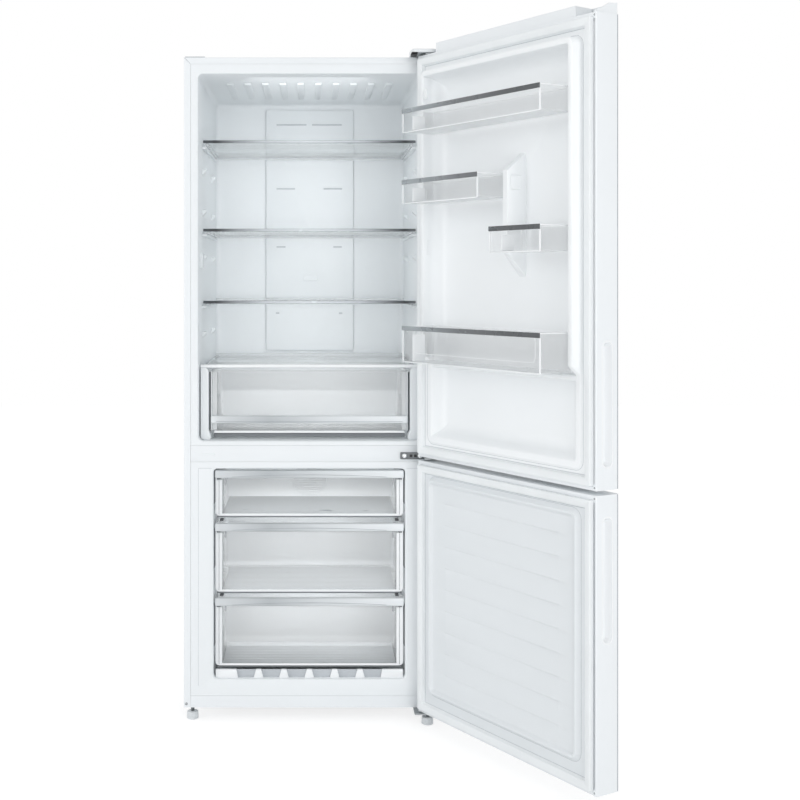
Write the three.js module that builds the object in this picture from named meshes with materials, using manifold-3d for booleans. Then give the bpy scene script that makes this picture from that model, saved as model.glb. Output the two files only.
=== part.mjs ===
// A two-door refrigerator with the freezer at the bottom, drawn with both doors standing open.
// Millimetres, +Z up. +X is to the right and +Y to the back, as seen by someone in front of it.
// Everything is placed from the middle of the cabinet's front plane at floor level, and the whole
// is then moved so that the origin is at the sole of the front left foot.
import * as THREE from 'three';
import { mergeVertices } from 'three/addons/utils/BufferGeometryUtils.js';
import Module from 'manifold-3d';

const wasm = await Module();
wasm.setup();

// ---- Driving dimensions: cabinet --------------------------------------------------------------
const CABINET_WIDTH = 700;
const CABINET_TOP = 1850;
const CABINET_BOTTOM = 36;
const CABINET_DEPTH = 598;
const FRIDGE_WALL = 40; // insulated walls, from the outside of the cabinet to the space inside
const FRIDGE_BACK_WALL = 53;
const FRIDGE_TOP_WALL = 46;
const FREEZER_WALL = 82;
const FREEZER_BACK_WALL = 83;
const SHEET = 2; // every sheet metal skin
const FLANGE = 18.5; // the metal frame seen around the mouth
const LINER_WALL = 2;
const RIM_SETBACK = 0.8; // the plastic rims lie a little behind the metal frame
const GAP = 0.3; // between pieces that touch
const FRIDGE_SIDE_DRAFT = 8;
const FRIDGE_TOP_DRAFT = 10;
const LINER_CORNER = 14;
const RAIL_BOTTOM = 721; // the rail between the two mouths
const RAIL_HEIGHT = 46;
const RAIL_DEPTH = 24;
const RAIL_TO_FRIDGE = 12; // up to the fridge's floor
const RAIL_TO_FREEZER = 19; // and down to the freezer's ceiling
const APRON_TOP = 68.5;
const APRON_DEPTH = 6;
const APRON_TO_FREEZER = 46.5;
const BAY_DEPTH = 248; // the machine bay at the bottom of the back
const BAY_TOP = 285;
const STEP_WALL = 50; // between the machine bay and the freezer's lower part
const STEP_FLOOR = 60; // and up to the freezer's step over it

// ---- Driving dimensions: shelves, crisper and freezer drawers ---------------------------------
const SHELF_1_DROP = 182; // below the fridge's ceiling
const SHELF_2_DROP = 433;
const SHELF_3_DROP = 640;
const SHELF_FRONT = 104;
const SHELF_BACK_CLEARANCE = 23;
const SHELF_SIDE_CLEARANCE = 10.5;
const TRIM_SIDE_CLEARANCE = 4.5; // of the front trims, where the walls are widest
const SHELF_GLASS = 4;
const SHELF_RAIL = 10; // width of a shelf frame's members
const SHELF_TRIM_HEIGHT = 17;
const SHELF_TRIM_RISE = 4; // how far the front trim stands above the glass
const SHELF_LIP_RISE = 8;
const GLASS_SEAT = 6; // how far the frame reaches under the glass
const FRAME_SEAT = 4; // and how thick it is there
const LEDGE_HEIGHT = 8;
const LEDGE_REACH = 14;
const COVER_RISE = 209; // the glass over the crisper, above the fridge's floor
const COVER_FRONT = 24;
const COVER_TRIM_HEIGHT = 14;
const COVER_SIDE_CLEARANCE = 2.5;
const CHEEK_SPACE = 35; // beside the crisper, where the cover's cheeks stand
const CHEEK_CLEARANCE = 3;
const CRISPER_RISE = 21; // above the fridge's floor
const CRISPER_COVER_GAP = 14;
const CRISPER_BACK_SPACE = 145; // left behind it
const CRISPER_RUNNER = 12;
const RUNNER_SETBACK = 10;
const CRISPER_GRIP_RISE = 26;
const CRISPER_GRIP_HEIGHT = 21;
const FREEZER_HANDLE_HEIGHT = 22;
const DRAWER_SIDE_CLEARANCE = 6;
const DRAWER_FRONT = 22;
const DRAWER_CEILING_GAP = 6;
const DRAWER_FLOOR_GAP = 30;
const DRAWER_STEP_GAP = 7; // above the step, and under it
const DRAWER_SPACING = 18; // from one drawer to the next
const DRAWER_1_HEIGHT = 131;
const DRAWER_1_BACK_SPACE = 44; // left behind each drawer
const DRAWER_2_BACK_SPACE = 56;
const DRAWER_3_BACK_SPACE = 38;
const DRAWER_WALL = 3;
const DRAWER_LEDGE = 10;
const HANDLE_DEPTH = 13;
const SILL_TEETH = 5;
const SILL_PITCH = 71;
const SILL_HEIGHT = 24;
const SILL_CLEARANCE = 2; // in front of the drawers
const SLIDER_CENTRE = 42.5;
const SLIDER_LENGTH = 23;
const SLIDER_TRAVEL = 12;
const SLIDER_RISE = 3;

// ---- Driving dimensions: doors and hinges -----------------------------------------------------
const DOOR_THICKNESS = 70;
const GASKET_DEPTH = 12;
const GASKET_CLEARANCE = 0.8; // from the cabinet, so that its hinge side swings clear
const GASKET_WIDTH = 18;
const GASKET_INSET = 11; // from the door's edge to the gasket
const DOOR_BEAD = 10; // the skin's return on the inside face
const DOOR_CAP = 14;
const DOOR_TOP_DROP = 4; // below the cabinet's top
const DOOR_BOTTOM_RISE = 3; // above its bottom
const LOWER_DOOR_LAP = 10; // over the rail between the mouths
const DOOR_SPACING = 11;
const RIDGE_HEIGHT = 28;
const RIDGE_START = 62; // from the hinge edge
const RIDGE_SETBACK = 9;
const DYKE_HEIGHT = 30;
const DYKE_CREST = 12;
const DYKE_DRAFT = 7;
const DYKE_CLEARANCE = 5; // from the walls of the fridge
const DYKE_LOW_HEIGHT = 4; // beside the bottom recess
const DYKE_DROP_RISE = 8; // of that low part's end above the lowest bin's floor
const FIELD_DEPTH = 26; // of each liner's field below the door's inside face
const FIELD_BAR_HEIGHT = 14;
const FIELD_BAR_DROP = 4; // below the lowest bin
const PANEL_RING_HEIGHT = 9;
const PANEL_RING_LAP = 15; // below the freezer's floor
const RIB_COUNT = 9;
const RIB_WIDTH = 8;
const RIB_HEIGHT = 2;
const PIN_INSET = 18; // hinge axis from the cabinet's side
const PIN_FORWARD = 37.4; // and in front of the mouth
const PIN_RADIUS = 5;
const PIN_CLEARANCE = 0.5;
const PIN_REACH = 22;
const DOOR_OPEN = 121; // degrees, as it stands
const POCKET_DEPTH = 26;
const POCKET_OFFSET = 19; // from the inside face of the door
const POCKET_WIDTH = 31;
const POCKET_LENGTH = 292;
const POCKET_END_DISTANCE = 52; // from the doors' ends where they meet
const BIN_DEPTH = 104;
const BIN_WALL = 2.5;
const BIN_STANDOFF = 2; // from the door's inside face
const BIN_SIDE_INSET = 74; // from the door's edge
const BIN_HEIGHT = 64;
const BIN_1_DROP = 166; // from the cabinet's top to each bin's rim
const BIN_2_DROP = 355;
const BIN_3_DROP = 492;
const BIN_4_DROP = 744;
const BIN_2_WIDTH = 320;
const BIN_3_WIDTH = 186;
const BIN_4_HEIGHT = 97;
const BIN_STRIP_HEIGHT = 12;
const BIN_STRIP_THICKNESS = 3;
const STOP_CLEARANCE = 1.2; // between the middle bins and the stop between them
const STOP_WIDTH = 27;
const STOP_RISE = 51;
const STOP_DROP = 59;
const STOP_TOP_SLOPE = 44;
const STOP_BOTTOM_SLOPE = 59;

// ---- Driving dimensions: machine, air and feet ------------------------------------------------
const DUCT_WIDTH = 281;
const DUCT_TOP_GAP = 30; // below the fridge's ceiling
const DUCT_BOTTOM_GAP = 15; // above the crisper's cover
const DUCT_DEPTH = 11;
const SLOT_HEIGHT = 5;
// Rows of slots: how far down the cover, and where they start and end across half of it.
const DUCT_SLOT_SHARES = [
  { down: 0.062, from: 0.057, to: 0.747 },
  { down: 0.328, from: 0.32, to: 0.747 },
  { down: 0.569, from: 0.534, to: 0.74 },
  { down: 0.844, from: 0.676, to: 0.74 },
];
const EVAPORATOR_SPACE = 119; // from the back of the freezer to the front of the cover
const EVAPORATOR_COVER_THICKNESS = 8;
const FAN_DROP = 90; // below the freezer's ceiling
const FAN_RADIUS = 50;
const FAN_TIP_CLEARANCE = 5;
const FAN_BLADES = 5;
const FAN_DEPTH = 18;
const FAN_SETBACK = 3; // behind the cover, and in front of the motor
const BLADE_THICKNESS = 2;
const MOTOR_DEPTH = 24;
const MOTOR_BAR = 16; // height of the bar and posts that carry the motor
const MOTOR_BAR_THICKNESS = 4;
const MOTOR_POST = 8;
const MOTOR_POST_CLEARANCE = 4; // outside the fan
const EVAPORATOR_WIDTH = 420;
const EVAPORATOR_HEIGHT = 180;
const EVAPORATOR_DEPTH = 56;
const EVAPORATOR_FINS = 14;
const COMPRESSOR_RADIUS = 75;
const COMPRESSOR_HEIGHT = 165;
const COMPRESSOR_PLATE = 8;
const COMPRESSOR_X = 150;
const PAN_X = -130;
const PAN_WIDTH = 230;
const PAN_DEPTH = 150;
const PAN_HEIGHT = 45;
const GRILLE_EDGE = 30;
const GRILLE_PITCH = 24;
const GRILLE_SLOT = 8;
const GRILLE_MIDDLE = 40; // left whole on each side of the middle
const FOOT_INSET = 23;
const FOOT_RADIUS = 17;
const FOOT_HEIGHT = 21;
const FOOT_EDGE = 3; // its rounded edges
const LEFT_FOOT_Y = 20;
const RIGHT_FOOT_FORWARD = 27;
const STUD_RADIUS = 5;
const BRACKET = 4; // plate of the hinge brackets
const BRACKET_LENGTH = 60; // how far they reach along and into the cabinet
const BRACKET_EDGE = 14; // around the hinge pins
const COVER_WALL_CLEARANCE = 8; // around the top hinge's plate
const ROLLER_RADIUS = 16;
const ROLLER_WIDTH = 20;
const ROLLER_INSET = 50;
const ROLLER_BACK = 38;
const AXLE_RADIUS = 3;
const LUG = 4;
const CORNER_STEPS = 4; // facets in a rounded corner

// ---- Derived places ---------------------------------------------------------------------------
const half = CABINET_WIDTH / 2;
const shellHalf = half - SHEET - GAP; // what fits inside the outer wrapper
const rimHalf = half - FLANGE - GAP; // what fits inside the metal frame
const rearInside = CABINET_DEPTH - SHEET - 2 * GAP; // in front of the back panel
const rimBack = RIM_SETBACK + LINER_WALL;
const railTop = RAIL_BOTTOM + RAIL_HEIGHT;
const fridge = {
  half: half - FRIDGE_WALL,
  floor: railTop + RAIL_TO_FRIDGE,
  ceiling: CABINET_TOP - FRIDGE_TOP_WALL,
  depth: CABINET_DEPTH - FRIDGE_BACK_WALL,
};
const freezer = {
  half: half - FREEZER_WALL,
  floor: APRON_TOP + APRON_TO_FREEZER,
  ceiling: RAIL_BOTTOM - RAIL_TO_FREEZER,
  depth: CABINET_DEPTH - FREEZER_BACK_WALL,
};
const bayFront = CABINET_DEPTH - BAY_DEPTH;
const bayCeiling = BAY_TOP + SHEET;
const step = { top: BAY_TOP + STEP_FLOOR, front: bayFront - STEP_WALL };
const shelfBack = fridge.depth - SHELF_BACK_CLEARANCE;
const shelfLevels = [SHELF_1_DROP, SHELF_2_DROP, SHELF_3_DROP].map((drop) => fridge.ceiling - drop);
const coverLevel = fridge.floor + COVER_RISE;
const crisper = {
  half: fridge.half - CHEEK_SPACE,
  bottom: fridge.floor + CRISPER_RISE,
  top: coverLevel - CRISPER_COVER_GAP,
  back: fridge.depth - CRISPER_BACK_SPACE,
};
const evaporatorCoverFront = freezer.depth - EVAPORATOR_SPACE;
const topDrawer = {
  bottom: freezer.ceiling - DRAWER_CEILING_GAP - DRAWER_1_HEIGHT,
  top: freezer.ceiling - DRAWER_CEILING_GAP,
  back: evaporatorCoverFront - DRAWER_1_BACK_SPACE,
};
const drawerTubs = [
  topDrawer,
  {
    bottom: step.top + DRAWER_STEP_GAP,
    top: topDrawer.bottom - DRAWER_SPACING,
    back: evaporatorCoverFront - DRAWER_2_BACK_SPACE,
  },
  {
    bottom: freezer.floor + DRAWER_FLOOR_GAP,
    top: step.top - DRAWER_STEP_GAP,
    back: step.front - DRAWER_3_BACK_SPACE,
  },
];
const doorInner = -GASKET_DEPTH;
const doorOuter = doorInner - DOOR_THICKNESS;
const lowerDoor = [CABINET_BOTTOM + DOOR_BOTTOM_RISE, RAIL_BOTTOM + LOWER_DOOR_LAP];
const upperDoor = [lowerDoor[1] + DOOR_SPACING, CABINET_TOP - DOOR_TOP_DROP];
const pocketReach = POCKET_END_DISTANCE + POCKET_LENGTH;
const upperPocket = [upperDoor[0] + POCKET_END_DISTANCE, upperDoor[0] + pocketReach];
const lowerPocket = [lowerDoor[1] - pocketReach, lowerDoor[1] - POCKET_END_DISTANCE];
const ridgeTop = upperDoor[1] + RIDGE_HEIGHT;
const pin = { x: half - PIN_INSET, y: -PIN_FORWARD };
const footX = half - FOOT_INSET;
const rollerY = CABINET_DEPTH - ROLLER_BACK;

// ---- Shape helpers ----------------------------------------------------------------------------
function solid(geometry) {
  const bare = geometry.clone();
  bare.deleteAttribute('normal');
  bare.deleteAttribute('uv');
  const merged = mergeVertices(bare, 1e-4);
  return new wasm.Manifold(new wasm.Mesh({
    numProp: 3,
    vertProperties: merged.attributes.position.array,
    triVerts: new Uint32Array(merged.index.array),
  }));
}

function join(first, ...rest) {
  return rest.reduce((whole, next) => whole.add(next), first);
}

function cut(first, ...rest) {
  return rest.reduce((whole, next) => whole.subtract(next), first);
}

function block([x0, x1], [y0, y1], [z0, z1]) {
  const geometry = new THREE.BoxGeometry(x1 - x0, y1 - y0, z1 - z0);
  return solid(geometry.translate((x0 + x1) / 2, (y0 + y1) / 2, (z0 + z1) / 2));
}

// Two places on the same side of the middle, in rising order.
function mirrored(side, near, far) {
  return [side * near, side * far].sort((a, b) => a - b);
}

function outline(points) {
  return new THREE.Shape(points.map(([a, b]) => new THREE.Vector2(a, b)));
}

function roundedOutline([x0, x1], [z0, z1], radius) {
  const r = Math.max(0.5, Math.min(radius, (x1 - x0) / 2 - 0.5, (z1 - z0) / 2 - 0.5));
  const shape = new THREE.Shape();
  shape.absarc(x1 - r, z1 - r, r, 0, Math.PI / 2, false);
  shape.absarc(x0 + r, z1 - r, r, Math.PI / 2, Math.PI, false);
  shape.absarc(x0 + r, z0 + r, r, Math.PI, Math.PI * 1.5, false);
  shape.absarc(x1 - r, z0 + r, r, Math.PI * 1.5, Math.PI * 2, false);
  return shape;
}

// A shape drawn in X and Z, pushed back along Y.
function pushedBack(shape, [y0, y1]) {
  const geometry = new THREE.ExtrudeGeometry(shape, {
    depth: y1 - y0, bevelEnabled: false, curveSegments: CORNER_STEPS,
  });
  return geometry.rotateX(Math.PI / 2).translate(0, y1, 0);
}

// A shape drawn in X and Y, pulled up along Z.
function pulledUp(shape, [z0, z1]) {
  const geometry = new THREE.ExtrudeGeometry(shape, {
    depth: z1 - z0, bevelEnabled: false, curveSegments: CORNER_STEPS,
  });
  return geometry.translate(0, 0, z0);
}

function panel(x, z, radius, y) {
  return solid(pushedBack(roundedOutline(x, z, radius), y));
}

// A rounded block whose sides and ends draw in evenly from its front to its back.
function moulded({ halfWidth, low, high, radius, y, side = 0, top = 0, bottom = 0 }) {
  const geometry = pushedBack(roundedOutline([-halfWidth, halfWidth], [low, high], radius), y);
  const position = geometry.attributes.position;
  const middle = (low + high) / 2;
  for (let i = 0; i < position.count; i += 1) {
    const along = (position.getY(i) - y[0]) / (y[1] - y[0]);
    const z = position.getZ(i);
    position.setX(i, (position.getX(i) * (halfWidth - side * along)) / halfWidth);
    position.setZ(i, z > middle ? z - top * along : z + bottom * along);
  }
  return solid(geometry);
}

function uprightCylinder(x, y, radius, [z0, z1], sides = 20) {
  const geometry = new THREE.CylinderGeometry(radius, radius, z1 - z0, sides);
  return solid(geometry.rotateX(Math.PI / 2).translate(x, y, (z0 + z1) / 2));
}

function deepCylinder(x, z, radius, [y0, y1], sides = 24) {
  const geometry = new THREE.CylinderGeometry(radius, radius, y1 - y0, sides);
  return solid(geometry.translate(x, (y0 + y1) / 2, z));
}

function crossCylinder(y, z, radius, [x0, x1], sides = 24) {
  const geometry = new THREE.CylinderGeometry(radius, radius, x1 - x0, sides);
  return solid(geometry.rotateZ(Math.PI / 2).translate((x0 + x1) / 2, y, z));
}

// ---- Finishes ---------------------------------------------------------------------------------
function finish(color, roughness, metalness = 0, opacity = 1) {
  return new THREE.MeshStandardMaterial({
    color, roughness, metalness, opacity, transparent: opacity < 1,
  });
}

const paintedWhite = finish(0xeff2f4, 0.35);
const linerWhite = finish(0xe9edf0, 0.45);
const softWhite = finish(0xe4e8ea, 0.7);
const foamYellow = finish(0xe6dcb4, 0.95);
const darkTrim = finish(0x5d6468, 0.35, 0.5);
const silverTrim = finish(0xcdd1d4, 0.3, 0.4);
const clearPlastic = finish(0xe3e8ea, 0.12, 0, 0.45);
const clearGlass = finish(0xdfe7e6, 0.05, 0, 0.35);
const zincSteel = finish(0x8b9093, 0.4, 0.8);
const galvanised = finish(0xa9aeb1, 0.5, 0.7);
const blackEnamel = finish(0x1d1f21, 0.4);
const aluminiumFin = finish(0xc4c8ca, 0.4, 0.9);
const greyPlastic = finish(0xb6babd, 0.5);

const refrigerator = new THREE.Group();

function piece(name, body, material, parent = refrigerator) {
  const mesh = body.getMesh();
  const geometry = new THREE.BufferGeometry();
  geometry.setAttribute('position', new THREE.BufferAttribute(mesh.vertProperties, 3));
  geometry.setIndex(new THREE.BufferAttribute(mesh.triVerts, 1));
  geometry.computeVertexNormals();
  const node = new THREE.Mesh(geometry, material);
  node.name = name;
  parent.add(node);
  return node;
}

// ---- Cabinet shell ----------------------------------------------------------------------------
function outerWrapper() {
  const skin = block([-half, half], [0, CABINET_DEPTH], [CABINET_BOTTOM, CABINET_TOP]);
  const inside = block(
    [SHEET - half, half - SHEET],
    [SHEET, CABINET_DEPTH + 1],
    [CABINET_BOTTOM - 1, CABINET_TOP - SHEET],
  );
  const mouth = block(
    [FLANGE - half, half - FLANGE],
    [-1, SHEET + 1],
    [CABINET_BOTTOM - 1, CABINET_TOP - FLANGE],
  );
  return cut(skin, inside, mouth);
}

function backPanel() {
  return block(
    [-shellHalf, shellHalf],
    [rearInside + GAP, CABINET_DEPTH - GAP],
    [bayCeiling + GAP, CABINET_TOP - SHEET - GAP],
  );
}

function rollerLugs(side) {
  const x = side * (half - ROLLER_INSET);
  const lugs = [-1, 1].map((way) => {
    const near = x + way * (ROLLER_WIDTH / 2 + GAP);
    const span = [near, near + way * LUG].sort((a, b) => a - b);
    return block(
      span,
      [rollerY - ROLLER_RADIUS / 2, rollerY + ROLLER_RADIUS / 2],
      [ROLLER_RADIUS - 2 * AXLE_RADIUS, CABINET_BOTTOM + SHEET],
    );
  });
  return join(...lugs);
}

function axleHoles(side) {
  const x = side * (half - ROLLER_INSET);
  const reach = ROLLER_WIDTH;
  return crossCylinder(rollerY, ROLLER_RADIUS, AXLE_RADIUS + GAP, [x - reach, x + reach]);
}

function baseFrame() {
  const floorPlate = block(
    [-shellHalf, shellHalf],
    [SHEET + GAP, rearInside],
    [CABINET_BOTTOM, CABINET_BOTTOM + SHEET],
  );
  const apron = block([-rimHalf, rimHalf], [0, APRON_DEPTH], [CABINET_BOTTOM, APRON_TOP]);
  const riser = block(
    [-shellHalf, shellHalf],
    [bayFront, bayFront + SHEET],
    [CABINET_BOTTOM, bayCeiling],
  );
  const ceiling = block([-shellHalf, shellHalf], [bayFront, rearInside], [BAY_TOP, bayCeiling]);
  const frame = join(floorPlate, apron, riser, ceiling, rollerLugs(-1), rollerLugs(1));
  return cut(frame, axleHoles(-1), axleHoles(1));
}

function centreRail() {
  return block([-rimHalf, rimHalf], [0, RAIL_DEPTH], [RAIL_BOTTOM, railTop]);
}

// The space that a liner takes up, or with a wall of 0 the space inside it.
function fridgeSpace(wall, front = 0) {
  return moulded({
    halfWidth: fridge.half + wall,
    low: fridge.floor - wall,
    high: fridge.ceiling + wall,
    radius: LINER_CORNER + wall,
    y: [front, fridge.depth + wall],
    side: FRIDGE_SIDE_DRAFT,
    top: FRIDGE_TOP_DRAFT,
  });
}

function freezerSpace(wall, front = 0) {
  const x = [-freezer.half - wall, freezer.half + wall];
  const upper = panel(
    x,
    [step.top - wall, freezer.ceiling + wall],
    LINER_CORNER / 2 + wall,
    [front, freezer.depth + wall],
  );
  const lower = panel(
    x,
    [freezer.floor - wall, freezer.ceiling + wall],
    LINER_CORNER / 2 + wall,
    [front, step.front + wall],
  );
  return upper.add(lower);
}

function rim([z0, z1]) {
  return block([-rimHalf, rimHalf], [RIM_SETBACK, rimBack], [z0 + GAP, z1 - GAP]);
}

const ledgeTops = shelfLevels.map((level) => level - SHELF_GLASS - FRAME_SEAT - 2 * GAP);

function sideLedges(reachFrom, reachTo, y, top, height) {
  const left = block([-reachTo, -reachFrom], y, [top - height, top]);
  const right = block([reachFrom, reachTo], y, [top - height, top]);
  return left.add(right);
}

function fridgeLiner() {
  const shell = join(fridgeSpace(LINER_WALL, RIM_SETBACK), rim([railTop, CABINET_TOP - FLANGE]));
  const ledges = ledgeTops.map((top) => sideLedges(
    fridge.half - LEDGE_REACH,
    fridge.half + LINER_WALL,
    [SHELF_FRONT + SHELF_RAIL + GAP, shelfBack],
    top,
    LEDGE_HEIGHT,
  ));
  const kept = join(...ledges).intersect(fridgeSpace(LINER_WALL / 2));
  return cut(shell, fridgeSpace(0, -1)).add(kept);
}

function freezerSill() {
  const base = freezer.half + LINER_WALL / 2;
  const top = freezer.floor + SILL_HEIGHT;
  const wide = SILL_HEIGHT;
  const narrow = SILL_HEIGHT / 2;
  const points = [[-base, freezer.floor - LINER_WALL / 2], [base, freezer.floor - LINER_WALL / 2]];
  const shelf = freezer.floor + GAP * 4;
  const first = ((SILL_TEETH + 1) / 2) * SILL_PITCH;
  points.push([base, top], [first - narrow, top], [first - wide / 2, shelf]);
  for (let tooth = SILL_TEETH - 1; tooth >= 0; tooth -= 1) {
    const x = (tooth - (SILL_TEETH - 1) / 2) * SILL_PITCH;
    points.push([x + wide / 2, shelf], [x + narrow / 2, top]);
    points.push([x - narrow / 2, top], [x - wide / 2, shelf]);
  }
  points.push([wide / 2 - first, shelf], [narrow - first, top], [-base, top]);
  return solid(pushedBack(outline(points), [DRAWER_FRONT / 2, DRAWER_FRONT - SILL_CLEARANCE]));
}

function freezerLiner() {
  const shell = join(freezerSpace(LINER_WALL, RIM_SETBACK), rim([APRON_TOP, RAIL_BOTTOM]));
  const ledges = drawerTubs.map((tub) => sideLedges(
    freezer.half - DRAWER_SIDE_CLEARANCE - DRAWER_LEDGE,
    freezer.half + LINER_WALL / 2,
    [DRAWER_FRONT, tub.back],
    tub.bottom - GAP,
    DRAWER_LEDGE,
  ));
  const kept = join(freezerSill(), ...ledges).intersect(freezerSpace(LINER_WALL / 2));
  return cut(shell, freezerSpace(0, -1)).add(kept);
}

function insulationFoam() {
  const fill = block(
    [-shellHalf, shellHalf],
    [rimBack + GAP, rearInside],
    [CABINET_BOTTOM + SHEET + GAP, CABINET_TOP - SHEET - GAP],
  );
  const bay = block(
    [-half, half],
    [bayFront - GAP, CABINET_DEPTH],
    [0, bayCeiling + GAP],
  );
  const apronPocket = block(
    [-rimHalf - GAP, rimHalf + GAP],
    [0, APRON_DEPTH + GAP],
    [0, APRON_TOP + GAP],
  );
  const railPocket = block(
    [-rimHalf - GAP, rimHalf + GAP],
    [0, RAIL_DEPTH + GAP],
    [RAIL_BOTTOM - GAP, railTop + GAP],
  );
  const spaces = [fridgeSpace(LINER_WALL + GAP), freezerSpace(LINER_WALL + GAP)];
  return cut(fill, bay, apronPocket, railPocket, ...spaces);
}

piece('outer_wrapper', outerWrapper(), paintedWhite);
piece('back_panel', backPanel(), galvanised);
piece('base_frame', baseFrame(), paintedWhite);
piece('centre_rail', centreRail(), paintedWhite);
piece('fridge_liner', fridgeLiner(), linerWhite);
piece('freezer_liner', freezerLiner(), linerWhite);
piece('insulation_foam', insulationFoam(), foamYellow);

// ---- Shelves ----------------------------------------------------------------------------------
// A frame around a sheet of glass, with a step that the glass lies on.
function glassFrame(halfWidth, [front, back], level, trim, lip) {
  const trimHalf = fridge.half - TRIM_SIDE_CLEARANCE;
  const underGlass = level - SHELF_GLASS - GAP;
  const sides = block([-halfWidth, halfWidth], [front, back], [underGlass - FRAME_SEAT, level]);
  const trimBar = block(
    [-trimHalf, trimHalf],
    [front, front + SHELF_RAIL],
    [level + SHELF_TRIM_RISE - trim, level + SHELF_TRIM_RISE],
  );
  const lipBar = block([-halfWidth, halfWidth], [back - SHELF_RAIL / 2, back], [level - 1, level + lip]);
  const opening = halfWidth - SHELF_RAIL;
  const pane = block(
    [-opening, opening],
    [front + SHELF_RAIL, back - SHELF_RAIL],
    [underGlass, level + trim + lip],
  );
  const under = block(
    [GLASS_SEAT - opening, opening - GLASS_SEAT],
    [front + SHELF_RAIL + GLASS_SEAT, back - SHELF_RAIL - GLASS_SEAT],
    [underGlass - trim, level],
  );
  return cut(join(sides, trimBar, lipBar), pane, under);
}

function glassPane(halfWidth, [front, back], level) {
  const opening = halfWidth - SHELF_RAIL - GAP;
  return block(
    [-opening, opening],
    [front + SHELF_RAIL + GAP, back - SHELF_RAIL - GAP],
    [level - SHELF_GLASS, level],
  );
}

shelfLevels.forEach((level, index) => {
  const width = fridge.half - SHELF_SIDE_CLEARANCE;
  const span = [SHELF_FRONT, shelfBack];
  const frame = glassFrame(width, span, level, SHELF_TRIM_HEIGHT, SHELF_LIP_RISE);
  piece(`shelf_${index + 1}_frame`, frame, silverTrim);
  piece(`shelf_${index + 1}_glass`, glassPane(width, span, level), clearGlass);
});

// ---- Crisper ----------------------------------------------------------------------------------
const coverHalf = fridge.half - FRIDGE_SIDE_DRAFT - COVER_SIDE_CLEARANCE;
const coverSpan = [COVER_FRONT, shelfBack];
const runnerTop = crisper.bottom - GAP;

function sliderGroove(clearance) {
  const reach = SLIDER_LENGTH / 2 + SLIDER_TRAVEL + clearance;
  return block(
    [SLIDER_CENTRE - reach, SLIDER_CENTRE + reach],
    [COVER_FRONT + SHELF_RAIL / 4, COVER_FRONT + (SHELF_RAIL * 3) / 4],
    [coverLevel, coverLevel + SHELF_TRIM_RISE + 1],
  );
}

function crisperCoverFrame() {
  const frame = glassFrame(coverHalf, coverSpan, coverLevel, COVER_TRIM_HEIGHT, 0);
  const cheeks = [-1, 1].map((side) => {
    const inner = crisper.half + CHEEK_CLEARANCE;
    const floor = fridge.floor + GAP;
    const top = coverLevel - SHELF_GLASS - FRAME_SEAT / 2;
    const section = outline([
      [side * inner, floor], [side * (coverHalf - LINER_CORNER), floor],
      [side * coverHalf, floor + LINER_CORNER], [side * coverHalf, top], [side * inner, top],
    ]);
    const cheek = solid(pushedBack(section, [COVER_FRONT, crisper.back]));
    const runner = mirrored(side, inner - CRISPER_RUNNER, inner + 1);
    return cheek.add(block(
      runner,
      [COVER_FRONT + RUNNER_SETBACK, crisper.back],
      [fridge.floor + LINER_WALL * 3, runnerTop],
    ));
  });
  return cut(join(frame, ...cheeks), sliderGroove(1));
}

function humiditySlider() {
  return block(
    [SLIDER_CENTRE - SLIDER_LENGTH / 2, SLIDER_CENTRE + SLIDER_LENGTH / 2],
    [COVER_FRONT + SHELF_RAIL / 4 + GAP, COVER_FRONT + (SHELF_RAIL * 3) / 4 - GAP],
    [coverLevel + GAP, coverLevel + SHELF_TRIM_RISE + SLIDER_RISE],
  );
}

// An open box with a rounded front, seen from in front.
function tub(halfWidth, [bottom, top], [front, back], radius, wall = DRAWER_WALL) {
  const outside = panel([-halfWidth, halfWidth], [bottom, top + radius], radius, [front, back]);
  const lid = block([-halfWidth - 1, halfWidth + 1], [front - 1, back + 1], [top, top + 2 * radius]);
  const inner = halfWidth - wall;
  const inside = panel(
    [-inner, inner],
    [bottom + wall, top + 2 * radius],
    radius - wall / 2,
    [front + wall, back - wall],
  );
  return cut(outside, lid, inside);
}

// A flat bar along a drawer's front, with its back against the drawer.
function handleBar(halfWidth, z, front) {
  const section = outline([
    [-halfWidth, z[0]], [halfWidth, z[0]], [halfWidth, z[1]], [-halfWidth, z[1]],
  ]);
  const bar = solid(pushedBack(section, [front - HANDLE_DEPTH, front - GAP]));
  const grip = block(
    [DRAWER_WALL * 2 - halfWidth, halfWidth - DRAWER_WALL * 2],
    [front - HANDLE_DEPTH + DRAWER_WALL, front],
    [z[0] - 1, z[1] - DRAWER_WALL],
  );
  return cut(bar, grip);
}

piece('crisper_cover_frame', crisperCoverFrame(), silverTrim);
piece('crisper_cover_glass', glassPane(coverHalf, coverSpan, coverLevel), clearGlass);
piece('humidity_slider', humiditySlider(), greyPlastic);
const crisperFront = COVER_FRONT + HANDLE_DEPTH;
piece(
  'crisper_drawer',
  tub(crisper.half, [crisper.bottom, crisper.top], [crisperFront, crisper.back], LINER_CORNER),
  clearPlastic,
);
const crisperGrip = [CRISPER_GRIP_RISE, CRISPER_GRIP_RISE + CRISPER_GRIP_HEIGHT];
piece(
  'crisper_handle',
  handleBar(crisper.half - 1, crisperGrip.map((rise) => crisper.bottom + rise), crisperFront),
  silverTrim,
);

// ---- Freezer drawers --------------------------------------------------------------------------
drawerTubs.forEach(({ bottom, top, back }, index) => {
  const width = freezer.half - DRAWER_SIDE_CLEARANCE;
  const body = tub(width, [bottom, top], [DRAWER_FRONT, back], LINER_CORNER / 2);
  piece(`freezer_drawer_${index + 1}`, body, clearPlastic);
  const handle = handleBar(width, [top - FREEZER_HANDLE_HEIGHT, top], DRAWER_FRONT);
  piece(`freezer_handle_${index + 1}`, handle, silverTrim);
});

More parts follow.
